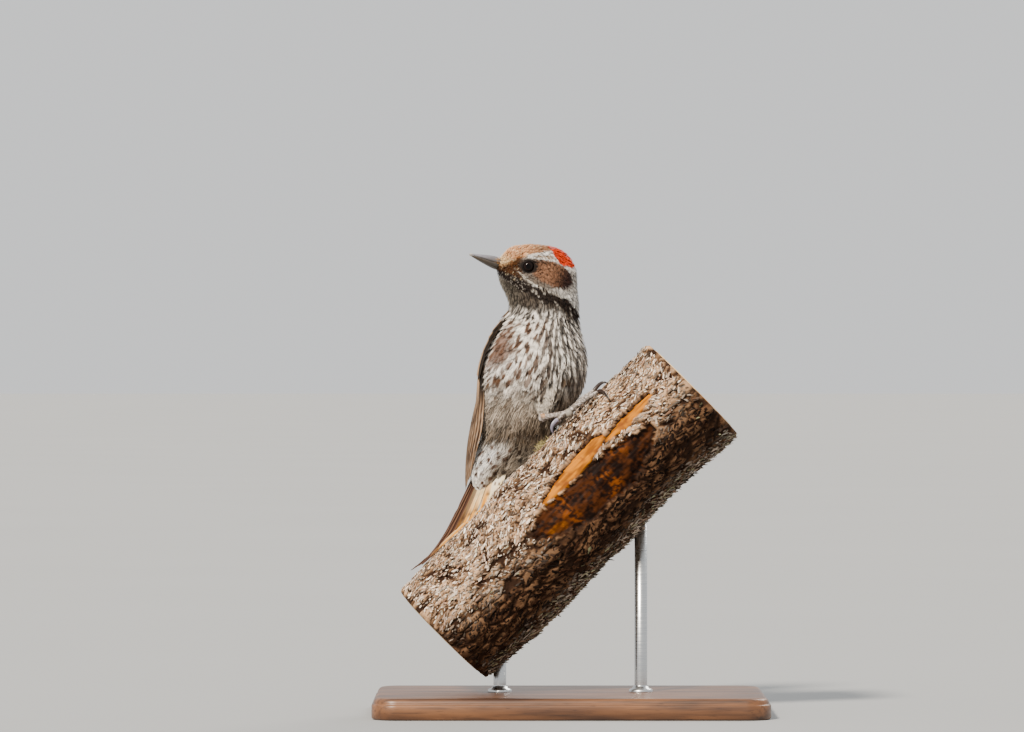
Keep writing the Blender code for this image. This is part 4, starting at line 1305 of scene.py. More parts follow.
def wing_vane(shape, name, root, tip, rise, widths, colour, bow=0.0, **form):
    """A vane laid on the wing from a root to a tip, each (share, height)."""
    t = np.linspace(0, 1, VANE_ROWS)
    share = root[0] + (tip[0] - root[0]) * t + bow * np.sin(math.pi * t)
    height = root[1] + (tip[1] - root[1]) * t
    lifted = rise[0] + (rise[1] - rise[0]) * t
    path = wing_point(name, share, height, lifted)
    out = wing_point(name, share, height, lifted + 1) - path
    ways = unit(np.gradient(path, axis=0))
    ups = unit(out - ways * dot(out, ways)[:, None])
    inner, outer = widths
    left, right = (inner, outer) if WING_SIDES[name] > 0 else (outer, inner)
    add_vane(shape, path, ups, left, right, colour, **form)


def wing_wear_and_shadow(points, colours, name):
    """Buff where the folded wing's outside is worn, painted shadow below it where the wing meets the body,
    and pale rims of stacked primaries.
    """
    height = points[:, 2]
    _, _, share = wing_place(points, name, wing_section(height, name))
    upper = ease(height, 140, 154)
    worn = (ease(share, 0.6, 0.72) - ease(share, 0.87, 0.92)) * upper
    rims = np.sin(2 * math.pi * (share * 15 + 0.02 * height)) * ease(share, 0.4, 0.6) * (1 - upper)
    # The near-black band along the lower edge, high on the wing, is painted shadow in the slot between wing
    # and body.
    return tints(colours, (BUFF_EDGE, worn * 0.75), ("#100a05", ease(share, 0.85, 0.9) * upper * 0.95),
                 (BUFF_EDGE, np.clip(rims, 0, 1) * 0.5), (WING_DARK, np.clip(-rims, 0, 1) * 0.9))


WING_DARK = linear("#1f130b")
BUFF_EDGE = linear("#bd9a78")


def web_colour(rng, outer, spots):
    """A brown web with a worn pale rim, and pale spots along the outer web where spots is above nought."""
    tone = rng.uniform(0.88, 1.12)
    shift = rng.uniform(0, 1)

    def colour(c, u):
        rim = np.maximum(ease(c * outer, 0.62, 0.95), 0.7 * ease(u, 0.93, 1.0))
        wave = np.sin(2 * math.pi * (u * 8.5 + shift))
        dots = ease(wave, 0.35, 0.8) * ease(c * outer, 0.12, 0.3) * fade(c * outer, 0.85, 1.0)
        dots = dots * ease(u, 0.3, 0.36) * fade(u, 0.88, 0.95) * spots
        return tints(
            "#583d28", (WING_DARK, np.exp(-(c * 3.5) ** 2) * 0.55 + 0.25 * (1 - u)), (BUFF_EDGE, rim * 0.9),
            (BUFF_EDGE, ease(-c * outer, 0.8, 1.0) * 0.45), ("#e9e0d0", dots)) * tone
    return colour


def some_splits(rng, count):
    return [(rng.uniform(0.35, 0.93), rng.choice((-1, 1)), rng.uniform(0.25, 0.6)) for _ in range(count)]


def wing_layers(end, top):
    """Each layer: feathers, root (share, height) and tip, rise at root and tip, web widths, spots."""
    layers = []
    for t in np.linspace(0, 1, 9):          # primaries, the outermost lowest in the stack
        tip = 0.42 + 0.565 * t
        layers.append(((0.70 + 0.28 * t, 166 - 3 * t), (tip, end(tip) + 0.3),
                       (0.95 - 0.2 * t, 0.95 - 0.3 * t), (3.9, 1.5), 0.2, 0.45, 0.02))
    for t in np.linspace(1, 0, 9):          # secondaries and, at the back, tertials
        tip = 0.05 + 0.44 * t
        layers.append(((0.18 + 0.56 * t, 171 - 4 * t), (tip, end(tip) + 2.5 + 6 * t),
                       (1.35 - 0.3 * t, 1.5 - 0.35 * t), (4.0, 3.0), 0.35, 0.3, 0.0))
    for t in np.linspace(1, 0, 11):         # greater coverts
        root = 0.10 + 0.86 * t
        layers.append(((root, top(root) - 9), (max(root - 0.06, 0.06), top(root) - 31 + 6 * (1 - t)),
                       (1.75, 1.75), (3.1, 2.4), 0.12, 0.4, 0.0))
    for t in np.linspace(1, 0, 11):         # median coverts
        root = 0.08 + 0.88 * t
        layers.append(((root, top(root) - 4), (max(root - 0.04, 0.05), top(root) - 18), (0.9, 2.05),
                       (2.8, 2.5), 0.0, 0.5, 0.0))
    for row, start in enumerate((3.0, 6.5)):      # lesser coverts
        for t in np.linspace(1, 0, 12):
            root = 0.06 + 0.9 * t - 0.03 * row
            layers.append(((root, top(root) + start - 6), (max(root - 0.02, 0.04), top(root) + start - 15),
                           (0.4, 2.3), (2.4, 2.3), 0.0, 0.6, 0.0))
    return layers


def build_wings():
    rng = np.random.default_rng(23)
    for name, side in WING_SIDES.items():
        shape = Shape()
        layers = wing_layers(lambda s: float(read_line(WING_END, s)), lambda s: float(read_line(WING_TOP, s)))
        for root, tip, rise, widths, spots, point, bow in layers:
            long = root[1] - tip[1] > 25
            wing_vane(shape, name, root, tip, rise, widths, web_colour(rng, side, spots), bow, point=point,
                      splits=some_splits(rng, 3 if long else 1))
            shape.colours[-1] = wing_wear_and_shadow(shape.points[-1], shape.colours[-1], name)
        shape.piece(f"wing_feathers_{name}", FLIGHT, (f"wing_{name}",))


def tail_path(lateral, lift, share=1.0):
    """The line of one tail feather, clear of the perch, and its upper side."""
    steps = run_of(TAIL_RIDGE)
    line = np.column_stack((steps, TAIL_RIDGE))
    side = unit(TAIL_SIDE)
    length = steps[-1] * (1 - (1 - TAIL_OUTER_SHARE) * max(abs(lateral) - 0.1, 0.0))
    at = length * share * np.linspace(0, 1, VANE_ROWS + 6)
    middle = read_curve(line, at)
    along = read_curve(line, np.minimum(at + 1, steps[-1])) - read_curve(line, np.maximum(at - 1, 0))
    up = unit(np.cross(side, -along))
    up = np.where(up[:, :1] > 0, -up, up)
    reach = read_line(TAIL_HALF_WIDTHS, at / steps[-1])
    drop = math.sin(TAIL_SLOPE) * abs(lateral) ** 1.3
    path = middle + (side * lateral * math.cos(TAIL_SLOPE) - up * drop) * reach[:, None]
    ups = unit(up + side * math.copysign(math.tan(TAIL_SLOPE) * abs(lateral) ** 0.3, lateral))
    spot, angle, height = perch_place(path)
    path = perch_point(spot, angle, np.maximum(height, 0.9 + lift))
    return path + ups * lift * 0.5, ups


def rectrix_colour(rng, lateral):
    """Dark red-brown middle feathers; golden-buff outer ones with a few dark bars."""
    tone = rng.uniform(0.9, 1.1)
    outwards = math.copysign(1, lateral)
    gold = ease(abs(lateral), 0.4, 0.75)

    def colour(c, u):
        dark = tints("#4f3326", ("#2b1a12", np.exp(-(c * 2.2) ** 2)),
                     ("#a07a5c", ease(np.abs(c), 0.75, 1.0) * 0.6))
        deep = ease(u, 0.2, 0.75) * (1 - 0.6 * ease(np.abs(c), 0.3, 0.8))
        bars = ease(np.sin(2 * math.pi * (u * 5.2 + 0.2)), 0.35, 0.8) * ease(-c * outwards, -0.3, 0.3)
        pale = tints("#f0dcae", ("#d38a1c", deep), ("#8a5a2a", ease(np.abs(c), 0.86, 1.0) * 0.7),
                     ("#4a3020", bars * ease(u, 0.35, 0.5) * 0.8))
        return tint(mix(dark, pale, gold), "#7a5638", ease(u, 0.86, 1.0) * 0.35 * (gold > 0)) * tone
    return colour


def covert_colour(rng):
    """Creamy white with dark spots along one side."""
    shift = rng.uniform(0, 1)

    def colour(c, u):
        dots = ease(np.sin(2 * math.pi * (u * 3.2 + shift)), 0.5, 0.85) * ease(np.abs(c), 0.25, 0.5)
        return tints("#f7efdc", ("#e8d3a0", ease(u, 0.4, 1.0)), ("#4f3524", dots * 0.85))
    return colour


def build_tail():
    rng = np.random.default_rng(5)
    shape = Shape()
    laterals = [(2 * k + 1) / TAIL_FEATHERS - 1 for k in range(TAIL_FEATHERS)]
    # The longest coverts under the tail are white with a dark spot or two. More show beside the perch.
    near = -math.copysign(1, TAIL_SIDE[1])
    for lateral, reach in ((-0.9, 0.45), (-1.05, 0.42), (1.2, 0.5), (1.4, 0.62), (1.62, 0.62), (1.84, 0.5)):
        path, ups = tail_path(near * lateral, 0.1, reach)
        add_vane(shape, path, ups, 2.1, 2.1, covert_colour(rng), thick=0.2, shaft=0.2, point=0.6, arch=0.2)
    path, ups = tail_path(near * 1.2, 0.1, 0.8)         # the short outermost feather
    add_vane(shape, path, ups, 2.2, 2.2, rectrix_colour(rng, near), thick=0.2, shaft=0.3, point=0.6,
             arch=0.14)
    for lateral in sorted(laterals, key=lambda v: -abs(v)):
        path, ups = tail_path(lateral, 0.55 * (1 - abs(lateral)))
        left, right = sorted((3.1, 1.7), reverse=lateral < 0)       # the outer web is the narrow one
        add_vane(shape, path, ups, left, right, rectrix_colour(rng, lateral), thick=0.2, shaft=0.38,
                 point=0.55, splits=some_splits(rng, 3), arch=0.14)
    shape.piece("tail_feathers", FLIGHT, ("tail",))


# ---- bill and eyes ----

def build_bill():
    """Both halves of the chisel bill: a ridged culmen, a keel below, and a line of painted shade between
    them.
    """
    line = BILL_TIP - BILL_BASE
    forward = unit(line)
    side = unit(np.cross(forward, (0.0, 0.0, 1.0)))
    shares = np.linspace(0, 1, 34) ** 0.9
    for name, way, pale, dark in (("bill_horn_upper", 1, "#77767f", "#40372e"),
                                  ("bill_horn_lower", -1, "#33250f", "#1c1407")):
        rise = np.cross(side, forward) * way
        rings, colours = [], []
        for share in np.concatenate(([-BILL_ROOT * 0.8 / np.linalg.norm(line)], shares)):
            inside = max(share, 0.0)
            taper = max(1 - inside ** 1.25, 0.0)
            depth = 0.42 + (BILL_DEPTH - 0.42) * taper
            width = 0.5 + (BILL_WIDTH - 0.5) * taper
            turns = np.linspace(0, math.pi, 19)
            ridge = 0.16 * taper * hill(turns - math.pi / 2, 0.28)
            groove = 0.12 * taper * hill(np.abs(turns - math.pi / 2) - 0.75, 0.16) * (way > 0)
            across = np.cos(turns) * (width - groove)
            height = np.sin(turns) ** 0.85 * (depth - 0.1 - groove) + ridge + 0.1
            across_flat = np.linspace(-1, 1, 7)[1:-1] * width
            ring = np.concatenate((side * across[:, None] + rise * height[:, None],
                                   side * across_flat[:, None] + rise * 0.1))
            rings.append(BILL_BASE + line * share + ring)
            # Painted sheen: the pale along the ridge of each half. Painted shade: the dark where the halves
            # meet, at their edges and on their flat inner faces.
            shade = tints(
                dark, (pale, 0.35 + 0.65 * ease(inside, 0.0, 0.8)),
                (pale, 0.55 * hill(turns - math.pi / 2, 0.5)), ("#b9ab98", 0.8 * ease(inside, 0.86, 0.97)),
                ("#3a3129", ease(np.abs(np.cos(turns)), 0.93, 1.0) * 0.7))
            colours.append(np.concatenate((shade, np.repeat(linear("#2c241d")[None], 5, 0))))
        shape = Shape()
        shape.tube(rings, np.array(colours))
        shape.piece(name, BILL_HORN, (name.replace("_horn", ""),))


def build_nasal_tufts():
    """Bristles that lie forward over the nostrils, golden above and dark by the gape."""
    rng = np.random.default_rng(8)
    line = unit(BILL_TIP - BILL_BASE)
    side = unit(np.cross(line, (0.0, 0.0, 1.0)))
    up = np.cross(side, line)
    shape = Shape()
    for _ in range(BRISTLES):
        turn = rng.uniform(-0.25, math.pi + 0.25)
        out = side * math.cos(turn) + up * math.sin(turn)
        length = rng.uniform(1.6, 3.4)
        start = BILL_BASE - line * rng.uniform(0.4, 1.8) + out * (BILL_WIDTH + rng.uniform(-0.3, 0.25))
        t = np.linspace(0, 1, 5)[:, None]
        path = start + line * length * t - out * (0.55 * t ** 1.5) + side * rng.normal(0, 0.15) * t
        radii = np.array((0.10, 0.12, 0.10, 0.07, 0.03)) * rng.uniform(0.9, 1.3)
        gold = tint("#54391f", "#cf9c5c", np.clip(math.sin(turn) + rng.normal(0, 0.25), 0, 1))
        shape.tube(rings_round(path, radii, 4), gold)
    shape.piece("nasal_tufts", CONTOUR)


def build_eyes():
    for name, middle in EYES.items():
        side = -1 if name == "left" else 1
        across, back = body_frame(np.array(EYE_HEIGHT))
        out = unit(back * side - across * 0.16)
        turns = circle(EYE_SIDES)
        tilts = np.concatenate((np.linspace(0.02, 1.35, 26), np.linspace(1.45, 3.1, 14)))
        first = unit(np.cross(out, (0.0, 0.0, 1.0)))
        second = np.cross(out, first)
        rings = [middle + out * EYE_RADIUS * math.cos(a) + (
            first * np.cos(turns)[:, None] + second * np.sin(turns)[:, None]) * EYE_RADIUS * math.sin(a)
            for a in tilts]
        iris = tints("#030202", ("#150a06", ease(tilts, 0.36, 0.43)), ("#070403", ease(tilts, 0.62, 0.75)))
        shape = Shape()
        shape.tube(rings, np.repeat(iris, EYE_SIDES, 0), start=middle + out * EYE_RADIUS,
                   end=middle - out * EYE_RADIUS)
        shape.piece(f"glass_eye_{name}", GLASS_EYE, (f"eye_{name}",))


# ---- legs and claws ----

def away_from_perch(points):
    offset = points - PERCH_MIDDLE
    return unit(offset - (offset @ ALONG)[..., None] * ALONG)


def toe_line(pad, end):
    knuckle = (np.array(pad) + np.array(end)) / 2 + (0, 0, 0.5)
    return np.array([on_perch(place) for place in (pad, knuckle, end)])


def worn_scales(lengths, sides):
    """Worn scales: a random share for each scute and side."""
    rng = np.random.default_rng(round(lengths[-1] * 1000))
    rows = rng.random((int(lengths[-1] / SCALE_LENGTH) + 2, sides))
    return ease(rows[(lengths / SCALE_LENGTH).astype(int)], 0.55, 1.0)


def add_limb(shape, path, radii, outs, scute=1.15, pads=0.12):
    """A scaly limb: overlapping scutes down its upper side and soft pads along the lower one."""
    lengths = run_of(path)
    turns = circle(LIMB_SIDES)
    upper = ease(np.cos(turns), -0.1, 0.6)
    step = (lengths / scute) % 1
    scutes = 0.13 * fade(step, 0.0, 0.85) - 0.05
    swell = np.abs(np.sin(math.pi * lengths / 2.5)) - 0.5
    around = 1 + scutes[:, None] * upper + pads * swell[:, None] * (1 - upper)
    rings = rings_round(path, np.asarray(radii)[:, None] * around, LIMB_SIDES, first_out=outs)
    joint = fade(np.abs(step - 0.03), 0.0, 0.12)
    worn = worn_scales(lengths, len(turns))
    # Painted shade: dark in the joints between scutes, and darker on the lower side that faces the perch.
    shades = tints("#8f8378", ("#1e1710", joint[:, None] * upper), ("#4d4234", (1 - upper) * 0.8),
                   ("#d9cfcb", worn * 0.7))
    shape.tube(rings, shades * (0.6 + 0.4 * worn[..., None]))


def claw_path(line, tip):
    """A hook that leaves the toe in line with it and arches over to its tip."""
    arch = 3.4
    forward = unit(line[-1] - line[-2])
    start, finish = line[-1] - forward * 0.5, on_perch(tip)
    out = away_from_perch(finish[None])[0]
    leave, reach = start + forward * (arch + 0.5) + out * 0.3 * arch, finish + out * arch
    t = np.linspace(0, 1, CLAW_RINGS)[:, None]
    return (start * (1 - t) ** 3 + leave * 3 * t * (1 - t) ** 2 + reach * 3 * t * t * (1 - t)
            + finish * t ** 3)


def heel_glow(points, ankle):
    """The share of bare orange skin on the near side of the heel."""
    spot = np.asarray(ankle) + (0.6, -1.4, 0.9)
    return fade(np.linalg.norm(points - spot, axis=1), 0.7, 1.6)


def build_leg(name):
    shape = Shape()
    ankle, sole = np.array(ANKLES[name]), on_perch(FOOT_PADS[name])
    t = np.linspace(-0.135, 1, 46)
    path = ankle + (sole - ankle) * t[:, None]
    radii = 1.25 + 1.05 * hill(t, 0.14) + 0.5 * ease(t, 0.8, 1.0)
    radii = radii * np.sqrt(1 - np.clip(-t / 0.14, 0, 1) ** 2)
    facing = np.tile(away_from_perch(sole[None])[0] + np.array((0.35, -0.5, 0.0)), (len(t), 1))
    add_limb(shape, path, radii, facing, scute=1.35, pads=0.03)
    shape.colours[-1] = tint(shape.colours[-1], "#c98d4e", 0.6 * heel_glow(shape.points[-1], ankle))
    pad_path = sole + away_from_perch(sole[None]) * np.linspace(-2.2, 1.9, 9)[:, None]
    rings = rings_round(pad_path, 2.3 * np.sqrt(1 - np.linspace(-0.98, 0.98, 9) ** 2), LIMB_SIDES,
                        first_out=ALONG)
    shape.tube(rings, linear("#8c8479"))
    for number, (end, tip) in TOES[name].items():
        line = toe_line(FOOT_PADS[name], end)
        path = smooth_path(line, 42)
        t = np.linspace(0, 1, 42)
        radii = (1.4 - 0.42 * t + 0.14 * hill(t - 0.55, 0.09)) * np.sqrt(
            np.clip((1.05 - t) / 0.09, 0, 1))
        add_limb(shape, path, radii, away_from_perch(path))
        hook = claw_path(line, tip)
        t = np.linspace(0, 1, CLAW_RINGS)
        radii = np.interp(t, np.linspace(0, 1, 5), (0.86, 0.84, 0.68, 0.46, 0.12))
        root, end = ("#8f8a9c", "#4a4450") if number == 4 else ("#2c1a10", "#0f0805")
        shades = tint(root, end, t)
        claw = Shape()
        level = unit(np.cross(hook[-1] - hook[0], hook[9] - hook[0]))
        outs = np.cross(level, unit(np.gradient(hook, axis=0)))
        claw.tube(rings_round(hook, radii * 1.12, CLAW_SIDES, flat=0.62, first_out=outs),
                  np.repeat(shades, CLAW_SIDES, 0))
        claw.piece(f"claw_horn_{name}_{number}", CLAW_HORN, (f"claw_{name}_{number}",))
    shape.piece(f"leg_scales_{name}", FOOT_SKIN, (f"shank_{name}", f"foot_{name}"))


# ---- the perch ----

BARK_STEP = 0.6
SCAR_LIPS = (                       # along the perch, degrees round it, half width: fresh inner bark
    ((35.0, 66.5, 0.9), (46.0, 66.5, 2.6), (56.0, 65.5, 2.4), (63.5, 64.0, 0.9)),
    ((-6.0, 67.0, 0.9), (6.0, 65.0, 3.2), (20.0, 63.0, 3.7), (30.5, 61.5, 3.0), (34.0, 61.0, 1.4)),
)
SCAR = ((-18.0, 84.0, 3.0), (-9.0, 85.0, 7.5), (6.0, 91.0, 10.0), (30.0, 94.0, 10.5), (43.0, 92.0, 6.5),
        (53.0, 88.0, 2.5))
CREVICE = 1.2                       # width of the dark gap along the upper edge of each lip


def perch_noise(points, size, layers=1):
    total, weight = np.zeros(len(points)), 1.0
    for k in range(layers):
        total += weight * np.array([noise.noise(p) for p in (points * 2 ** k / size).tolist()])
        weight /= 2
    return total


def plate_gaps(points, size):
    """Nought on the cracks between bark plates about size across, rising inside each."""
    pairs = np.array([noise.voronoi(p)[0][:2] for p in (points / size).tolist()])
    return pairs[:, 1] - pairs[:, 0]


def scar_gaps(along, angle):
    """How far a place lies outside the peeled scar, and outside its two fresh lips, in millimetres."""
    wide = math.radians(1) * PERCH_RADIUS
    place = (along, np.degrees(angle) * wide)

    def gap(line):
        return over_line(*place, [(a, degrees * wide, half) for a, degrees, half in line])
    return gap(SCAR), np.minimum(*(gap(line) for line in SCAR_LIPS))


def bark_core(along, angle):
    """The height of the bark's body over the plain perch, its colours, and how bare each place is."""
    places = np.column_stack((along, np.cos(angle) * PERCH_RADIUS, np.sin(angle) * PERCH_RADIUS))
    long = places * (0.5, 1.0, 1.0)
    warp = np.column_stack([perch_noise(long + shift, 7.0) for shift in (11.0, 47.0, 83.0)])
    plates = plate_gaps(long + warp * 3.0, 5.2)
    broad = perch_noise(long + warp, 6.0, 3)
    levels = broad * 3.0
    step = np.floor(levels) + ease(levels % 1, 0.0, 0.4)
    fine = perch_noise(long * 1.3, 0.9, 2)
    crack = ease(plates, 0.0, 0.22)
    height = np.minimum(-1.25 + 1.0 * crack + 0.35 * step + 0.3 * fine, 0.3)

    scar, lips = scar_gaps(along, angle)
    _, lower = scar_gaps(along, angle + CREVICE / PERCH_RADIUS)
    ragged = perch_noise(places, 2.4, 2)
    fibre = perch_noise(places * (0.25, 1.6, 1.6), 2.4, 3)
    inside = fade(scar + ragged * 2.0, -0.7, 0.6)
    height = mix(height, -2.1 + 0.45 * fibre + 0.8 * broad, inside)
    fresh = fade(lips + ragged * 0.5, -0.25, 0.25)
    crevice = fade(lower + ragged * 0.5, -0.2, 0.3) * (1 - fresh)
    height = mix(height, -2.8, crevice)
    height = mix(height, -0.6 + 0.12 * fibre, fresh)

    under = fade(np.cos(angle), -0.35, 0.4)
    shaded = tint("#1e1009", "#452813", ease(height, -1.1, 0.0))
    top = tints("#6b5039", ("#b99674", ease(height, -0.7, 0.2)), (shaded, under * 0.85))
    blotch = 0.5 * broad + 0.7 * perch_noise(places, 5.5, 3) + 0.8 * perch_noise(places, 1.5, 2)
    blotch = ease(blotch, -0.5, 0.6)
    glow = ease(perch_noise(places + 30, 12.0, 3), -0.1, 0.45) * ease(blotch, 0.3, 1.0)
    pool = np.hypot((along + 10.6) / 6.5, (np.degrees(angle) - 94) / 6.5) + 0.25 * broad
    # below: a painted shadow line along the hollow's lower edge.
    below = ease(np.degrees(angle), 70, 84) * hill(scar + 0.8, 0.9)
    hollow = tints("#120602", ("#401f06", blotch), ("#7d4006", glow * 0.6),
                   (tint("#4a2504", "#80480c", blotch), fade(pool, 0.6, 1.05)), ("#0e0502", below * 0.9))
    bast = tints("#7d4503", ("#bd7307", ease(fibre, -0.5, 0.4)),
                 ("#6f3714", ease(perch_noise(places + 90, 4.0, 3), 0.12, 0.5) * 0.6))
    # The crevice above each lip is painted near black, as the shade in it.
    colour = tints("#2a1a10", (top, ease(height, -1.15, -0.45)), (hollow, inside), (bast, fresh),
                   ("#200a05", crevice))
    return height, colour, np.maximum(inside, fresh)


def build_perch():
    rows = round((PERCH_ENDS[1] - PERCH_ENDS[0]) / BARK_STEP)
    columns = round(2 * math.pi * PERCH_RADIUS / BARK_STEP)
    along = np.linspace(*PERCH_ENDS, rows)
    angle = circle(columns)
    a, b = (grid.ravel() for grid in np.meshgrid(along, angle, indexing="ij"))
    b = wrapped(b)
    height, colour, bare = bark_core(a, b)
    chipped = np.minimum(a - PERCH_ENDS[0], PERCH_ENDS[1] - a)
    height = height - 0.9 * fade(chipped, 0, 1.2)
    points = perch_point(a, b, height)
    place = np.column_stack((a, b * PERCH_RADIUS, height))
    shape = Shape()
    shape.tube(points.reshape(rows, columns, 3), colour, extra=place)
    core = shape.piece("perch_bark", BARK, ("perch",))
    core.data.materials.append(BAST)
    bared = (bare.reshape(rows, columns)[:-1] > 0.5).ravel()
    finishes = np.zeros(len(core.data.polygons), np.int32)
    finishes[-len(bared):] = bared
    core.data.polygons.foreach_set("material_index", finishes)
    for name, end, way in (("low", PERCH_ENDS[0], -1), ("high", PERCH_ENDS[1], 1)):
        build_sawn_end(name, end, way, angle)
    build_bark_flakes(height.reshape(rows, columns))
    build_lichen()


def build_sawn_end(name, end, way, angle):
    """A sawn end: pith a little off centre, rings that crowd outwards, and drying cracks."""
    shares = np.linspace(0.93, 0.02, 62)
    rims = perch_radius(end, angle) - 2.6
    centre = PERCH_MIDDLE + ALONG * end
    pith = OUT * 2.0 + NEAR * -1.5
    spokes = np.cos(angle)[:, None] * OUT + np.sin(angle)[:, None] * NEAR
    rings, colours = [], []
    for share in shares:
        radius = rims * share
        wobble = perch_noise(spokes * radius[:, None] * 0.5 + 200, 6.0, 2)
        ring_wave = np.sin(2 * math.pi * (radius ** 1.08 + wobble * 1.2) / 2.4)
        cracks = sum(hill(wrapped(angle - turn) * radius, 0.22) * ease(share, low, low + 0.15)
                     for turn, low in ((0.7, 0.15), (2.9, 0.35), (4.6, 0.5)))
        depth = 0.35 - 0.07 * ring_wave - 0.9 * cracks
        rings.append(centre + pith * (1 - share) + spokes * radius[:, None]
                     + ALONG * way * np.clip(depth, -0.2, 0.5)[:, None])
        shade = tint("#d9b98a", "#a2733f", ease(ring_wave, 0.2, 0.95))
        colours.append(tints(shade, (shade * np.array((0.86, 0.72, 0.6)), fade(share, 0.3, 0.5)),
                             ("#3b2616", np.clip(cracks, 0, 1))))
    skirt = centre + spokes * (rims * shares[0])[:, None] - ALONG * way * 0.8
    shape = Shape()
    rings, colours = [skirt] + rings, [colours[0]] + colours
    if way > 0:
        shape.tube(rings, np.array(colours))
    else:
        shape.tube([r[::-1] for r in rings], np.array([c[::-1] for c in colours]))
    shape.piece(f"perch_end_{name}", SAWN)


LICHEN_STRANDS = 90
FLAKE_ROWS = 136
FLAKE_COLUMNS = 168
FLAKE_SIDES = 6
FLAKE_THICKNESS = 0.22
FLAKE_MARGIN = 2.0                  # clear of the sawn ends


def build_lichen():
    """A tuft of beard lichen on top of the perch."""
    rng = np.random.default_rng(2)
    shape = Shape()
    t = np.linspace(0, 1, 6)[:, None]
    for _ in range(LICHEN_STRANDS):
        start = perch_point(*(np.array(v) for v in (
            11.5 + rng.normal(0, 1.5), rng.normal(0.03, 0.045), rng.uniform(-0.2, 0.4))))
        out = away_from_perch(start[None])[0]
        way = unit(out + rng.normal(0, 0.7, 3))
        path = start + way * t * rng.uniform(1.2, 2.6) + rng.normal(0, 0.5, 3) * t ** 2
        shape.tube(rings_round(path, np.linspace(0.16, 0.06, 6), 4), tint("#665f38", "#b8ab78", rng.random()))
    shape.piece("lichen_tuft", BARK)


def flake_places(rng, heights):
    """Where flakes lie on the perch: along it, round it, the bark's height there, and two shares of where."""
    i, j = (grid.ravel() for grid in np.meshgrid(
        np.arange(FLAKE_ROWS), np.arange(FLAKE_COLUMNS), indexing="ij"))
    count = len(i)
    low, high = PERCH_ENDS[0] + FLAKE_MARGIN, PERCH_ENDS[1] - FLAKE_MARGIN
    along = low + (i + rng.uniform(0, 1, count)) / FLAKE_ROWS * (high - low)
    angle = wrapped((j + 0.5 * (i % 2) + rng.uniform(-0.6, 0.6, count)) / FLAKE_COLUMNS * 2 * math.pi)
    share = (along - PERCH_ENDS[0]) / (PERCH_ENDS[1] - PERCH_ENDS[0])
    row = np.clip(np.round(share * (len(heights) - 1)).astype(int), 0, len(heights) - 1)
    column = np.round((angle % (2 * math.pi)) / (2 * math.pi) * heights.shape[1]).astype(int)
    core = heights[row, column % heights.shape[1]]
    scar, lips = scar_gaps(along, angle)
    _, lower = scar_gaps(along, angle + CREVICE / PERCH_RADIUS)
    kept = (scar > rng.uniform(0.0, 1.2, count)) & (lips > 0.45) & (lower > 0.45)
    kept &= (core > -0.75) | (rng.random(count) < 0.4)
    under = fade(np.cos(angle), -0.35, 0.42)
    rim = ease(np.abs(np.degrees(angle)), 135, 155)
    kept &= rng.random(count) > 0.55 * under * (1 - rim)        # smoother plates underneath
    return (some[kept] for some in (along, angle, core, under, rim))


def flake_points(rng, along, angle, core, under, rim):
    """Each flake's points, upper rim, lower rim, top and foot, and how loose the flake is."""
    count = len(along)
    big = rng.random(count) ** 3
    long = (0.45 + 1.4 * big + 0.32 * rng.random(count)) * (1 + 0.5 * under * rng.random(count))
    wide = (0.23 + 0.27 * big + 0.22 * rng.random(count)) * (1 + 0.6 * under * rng.random(count))
    long, wide = long[:, None], wide[:, None]
    swirl = (0.4 * np.sin(along / 9 + 2.2 * np.sin(2 * angle)) + rng.normal(0, 0.45, count))[:, None]
    lift = (1.0 * rng.random(count) ** 2 + 1.4 * rim * rng.random(count) ** 3)[:, None]
    loose = rng.random(count) ** 1.5
    bed = fade(np.abs(along - 38), 9, 13) * fade(np.abs(np.degrees(angle) - 6), 12, 20)     # under the foot
    seat = np.maximum(core, -0.8) + 0.05 + 0.6 * loose + 0.8 * bed
    outline = rng.uniform(0.55, 1.2, (count, FLAKE_SIDES))
    t = circle(FLAKE_SIDES) + rng.uniform(-0.25, 0.25, (count, FLAKE_SIDES))
    x, y = long * outline * np.cos(t), wide * outline * np.sin(t)
    raised = lift * np.maximum(0.5 + 0.5 * x / long, 0) ** 1.5 - 0.15 * (y / wide) ** 2
    x, y = x * np.cos(swirl) - y * np.sin(swirl), x * np.sin(swirl) + y * np.cos(swirl)
    tail_side = fade(along, -30, -22) * fade(angle, -0.1, 0.1) * (angle > -1.5)
    limit = mix(0.95, 2.4, rim) - 0.5 * tail_side + 0.5 * bed
    level = np.minimum(seat[:, None] + raised, limit[:, None])
    a, b = along[:, None] + x, angle[:, None] + y / PERCH_RADIUS
    top = perch_point(along, angle, level.mean(1) + 0.1)
    foot = perch_point(along, angle, level.mean(1) - FLAKE_THICKNESS - 0.35)
    return np.concatenate((perch_point(a, b, level), perch_point(a, b, level - FLAKE_THICKNESS),
                           top[:, None], foot[:, None]), 1), loose


def flake_colours(rng, under, rim, loose):
    """Grey and pink above, brown beneath and in shade, greenish where lichen has taken hold at the rim."""
    count, n = len(under), FLAKE_SIDES
    tone = rng.random(count)
    pink = (rng.random(count) < 0.15) * 0.5
    brown = tint("#150b06", "#3a2213", rng.random(count))
    lichen = (rng.random(count) < 0.01 + 0.22 * rim) * rng.uniform(0.2, 0.7, count)
    shade = tints("#836a55", ("#eed8c2", ease(tone, 0.0, 0.75)), ("#fbeedd", ease(tone, 0.7, 1.0) * 0.95),
                  ("#b98567", pink), (brown, under * (1 - 0.5 * rim)), ("#a3a37c", lichen))
    # Looser flakes sit higher and are paler, lower ones darker, partly painted shade and partly browner
    # deeper bark; some flakes at random are much darker, as painted shade.
    shade = shade * ((0.62 + 0.45 * loose) * np.where(rng.random(count) < 0.3, 0.33, 1.1))[:, None]
    colours = np.repeat(shade[:, None], 2 * n + 2, 1)
    colours[:, :n] *= rng.uniform(0.7, 1.0, (count, n, 1))
    # The lower rim and foot of each flake are painted dark, as the shade beneath it.
    colours[:, n:2 * n] *= 0.35
    colours[:, -1] *= 0.3
    return np.clip(colours, 0, 1)


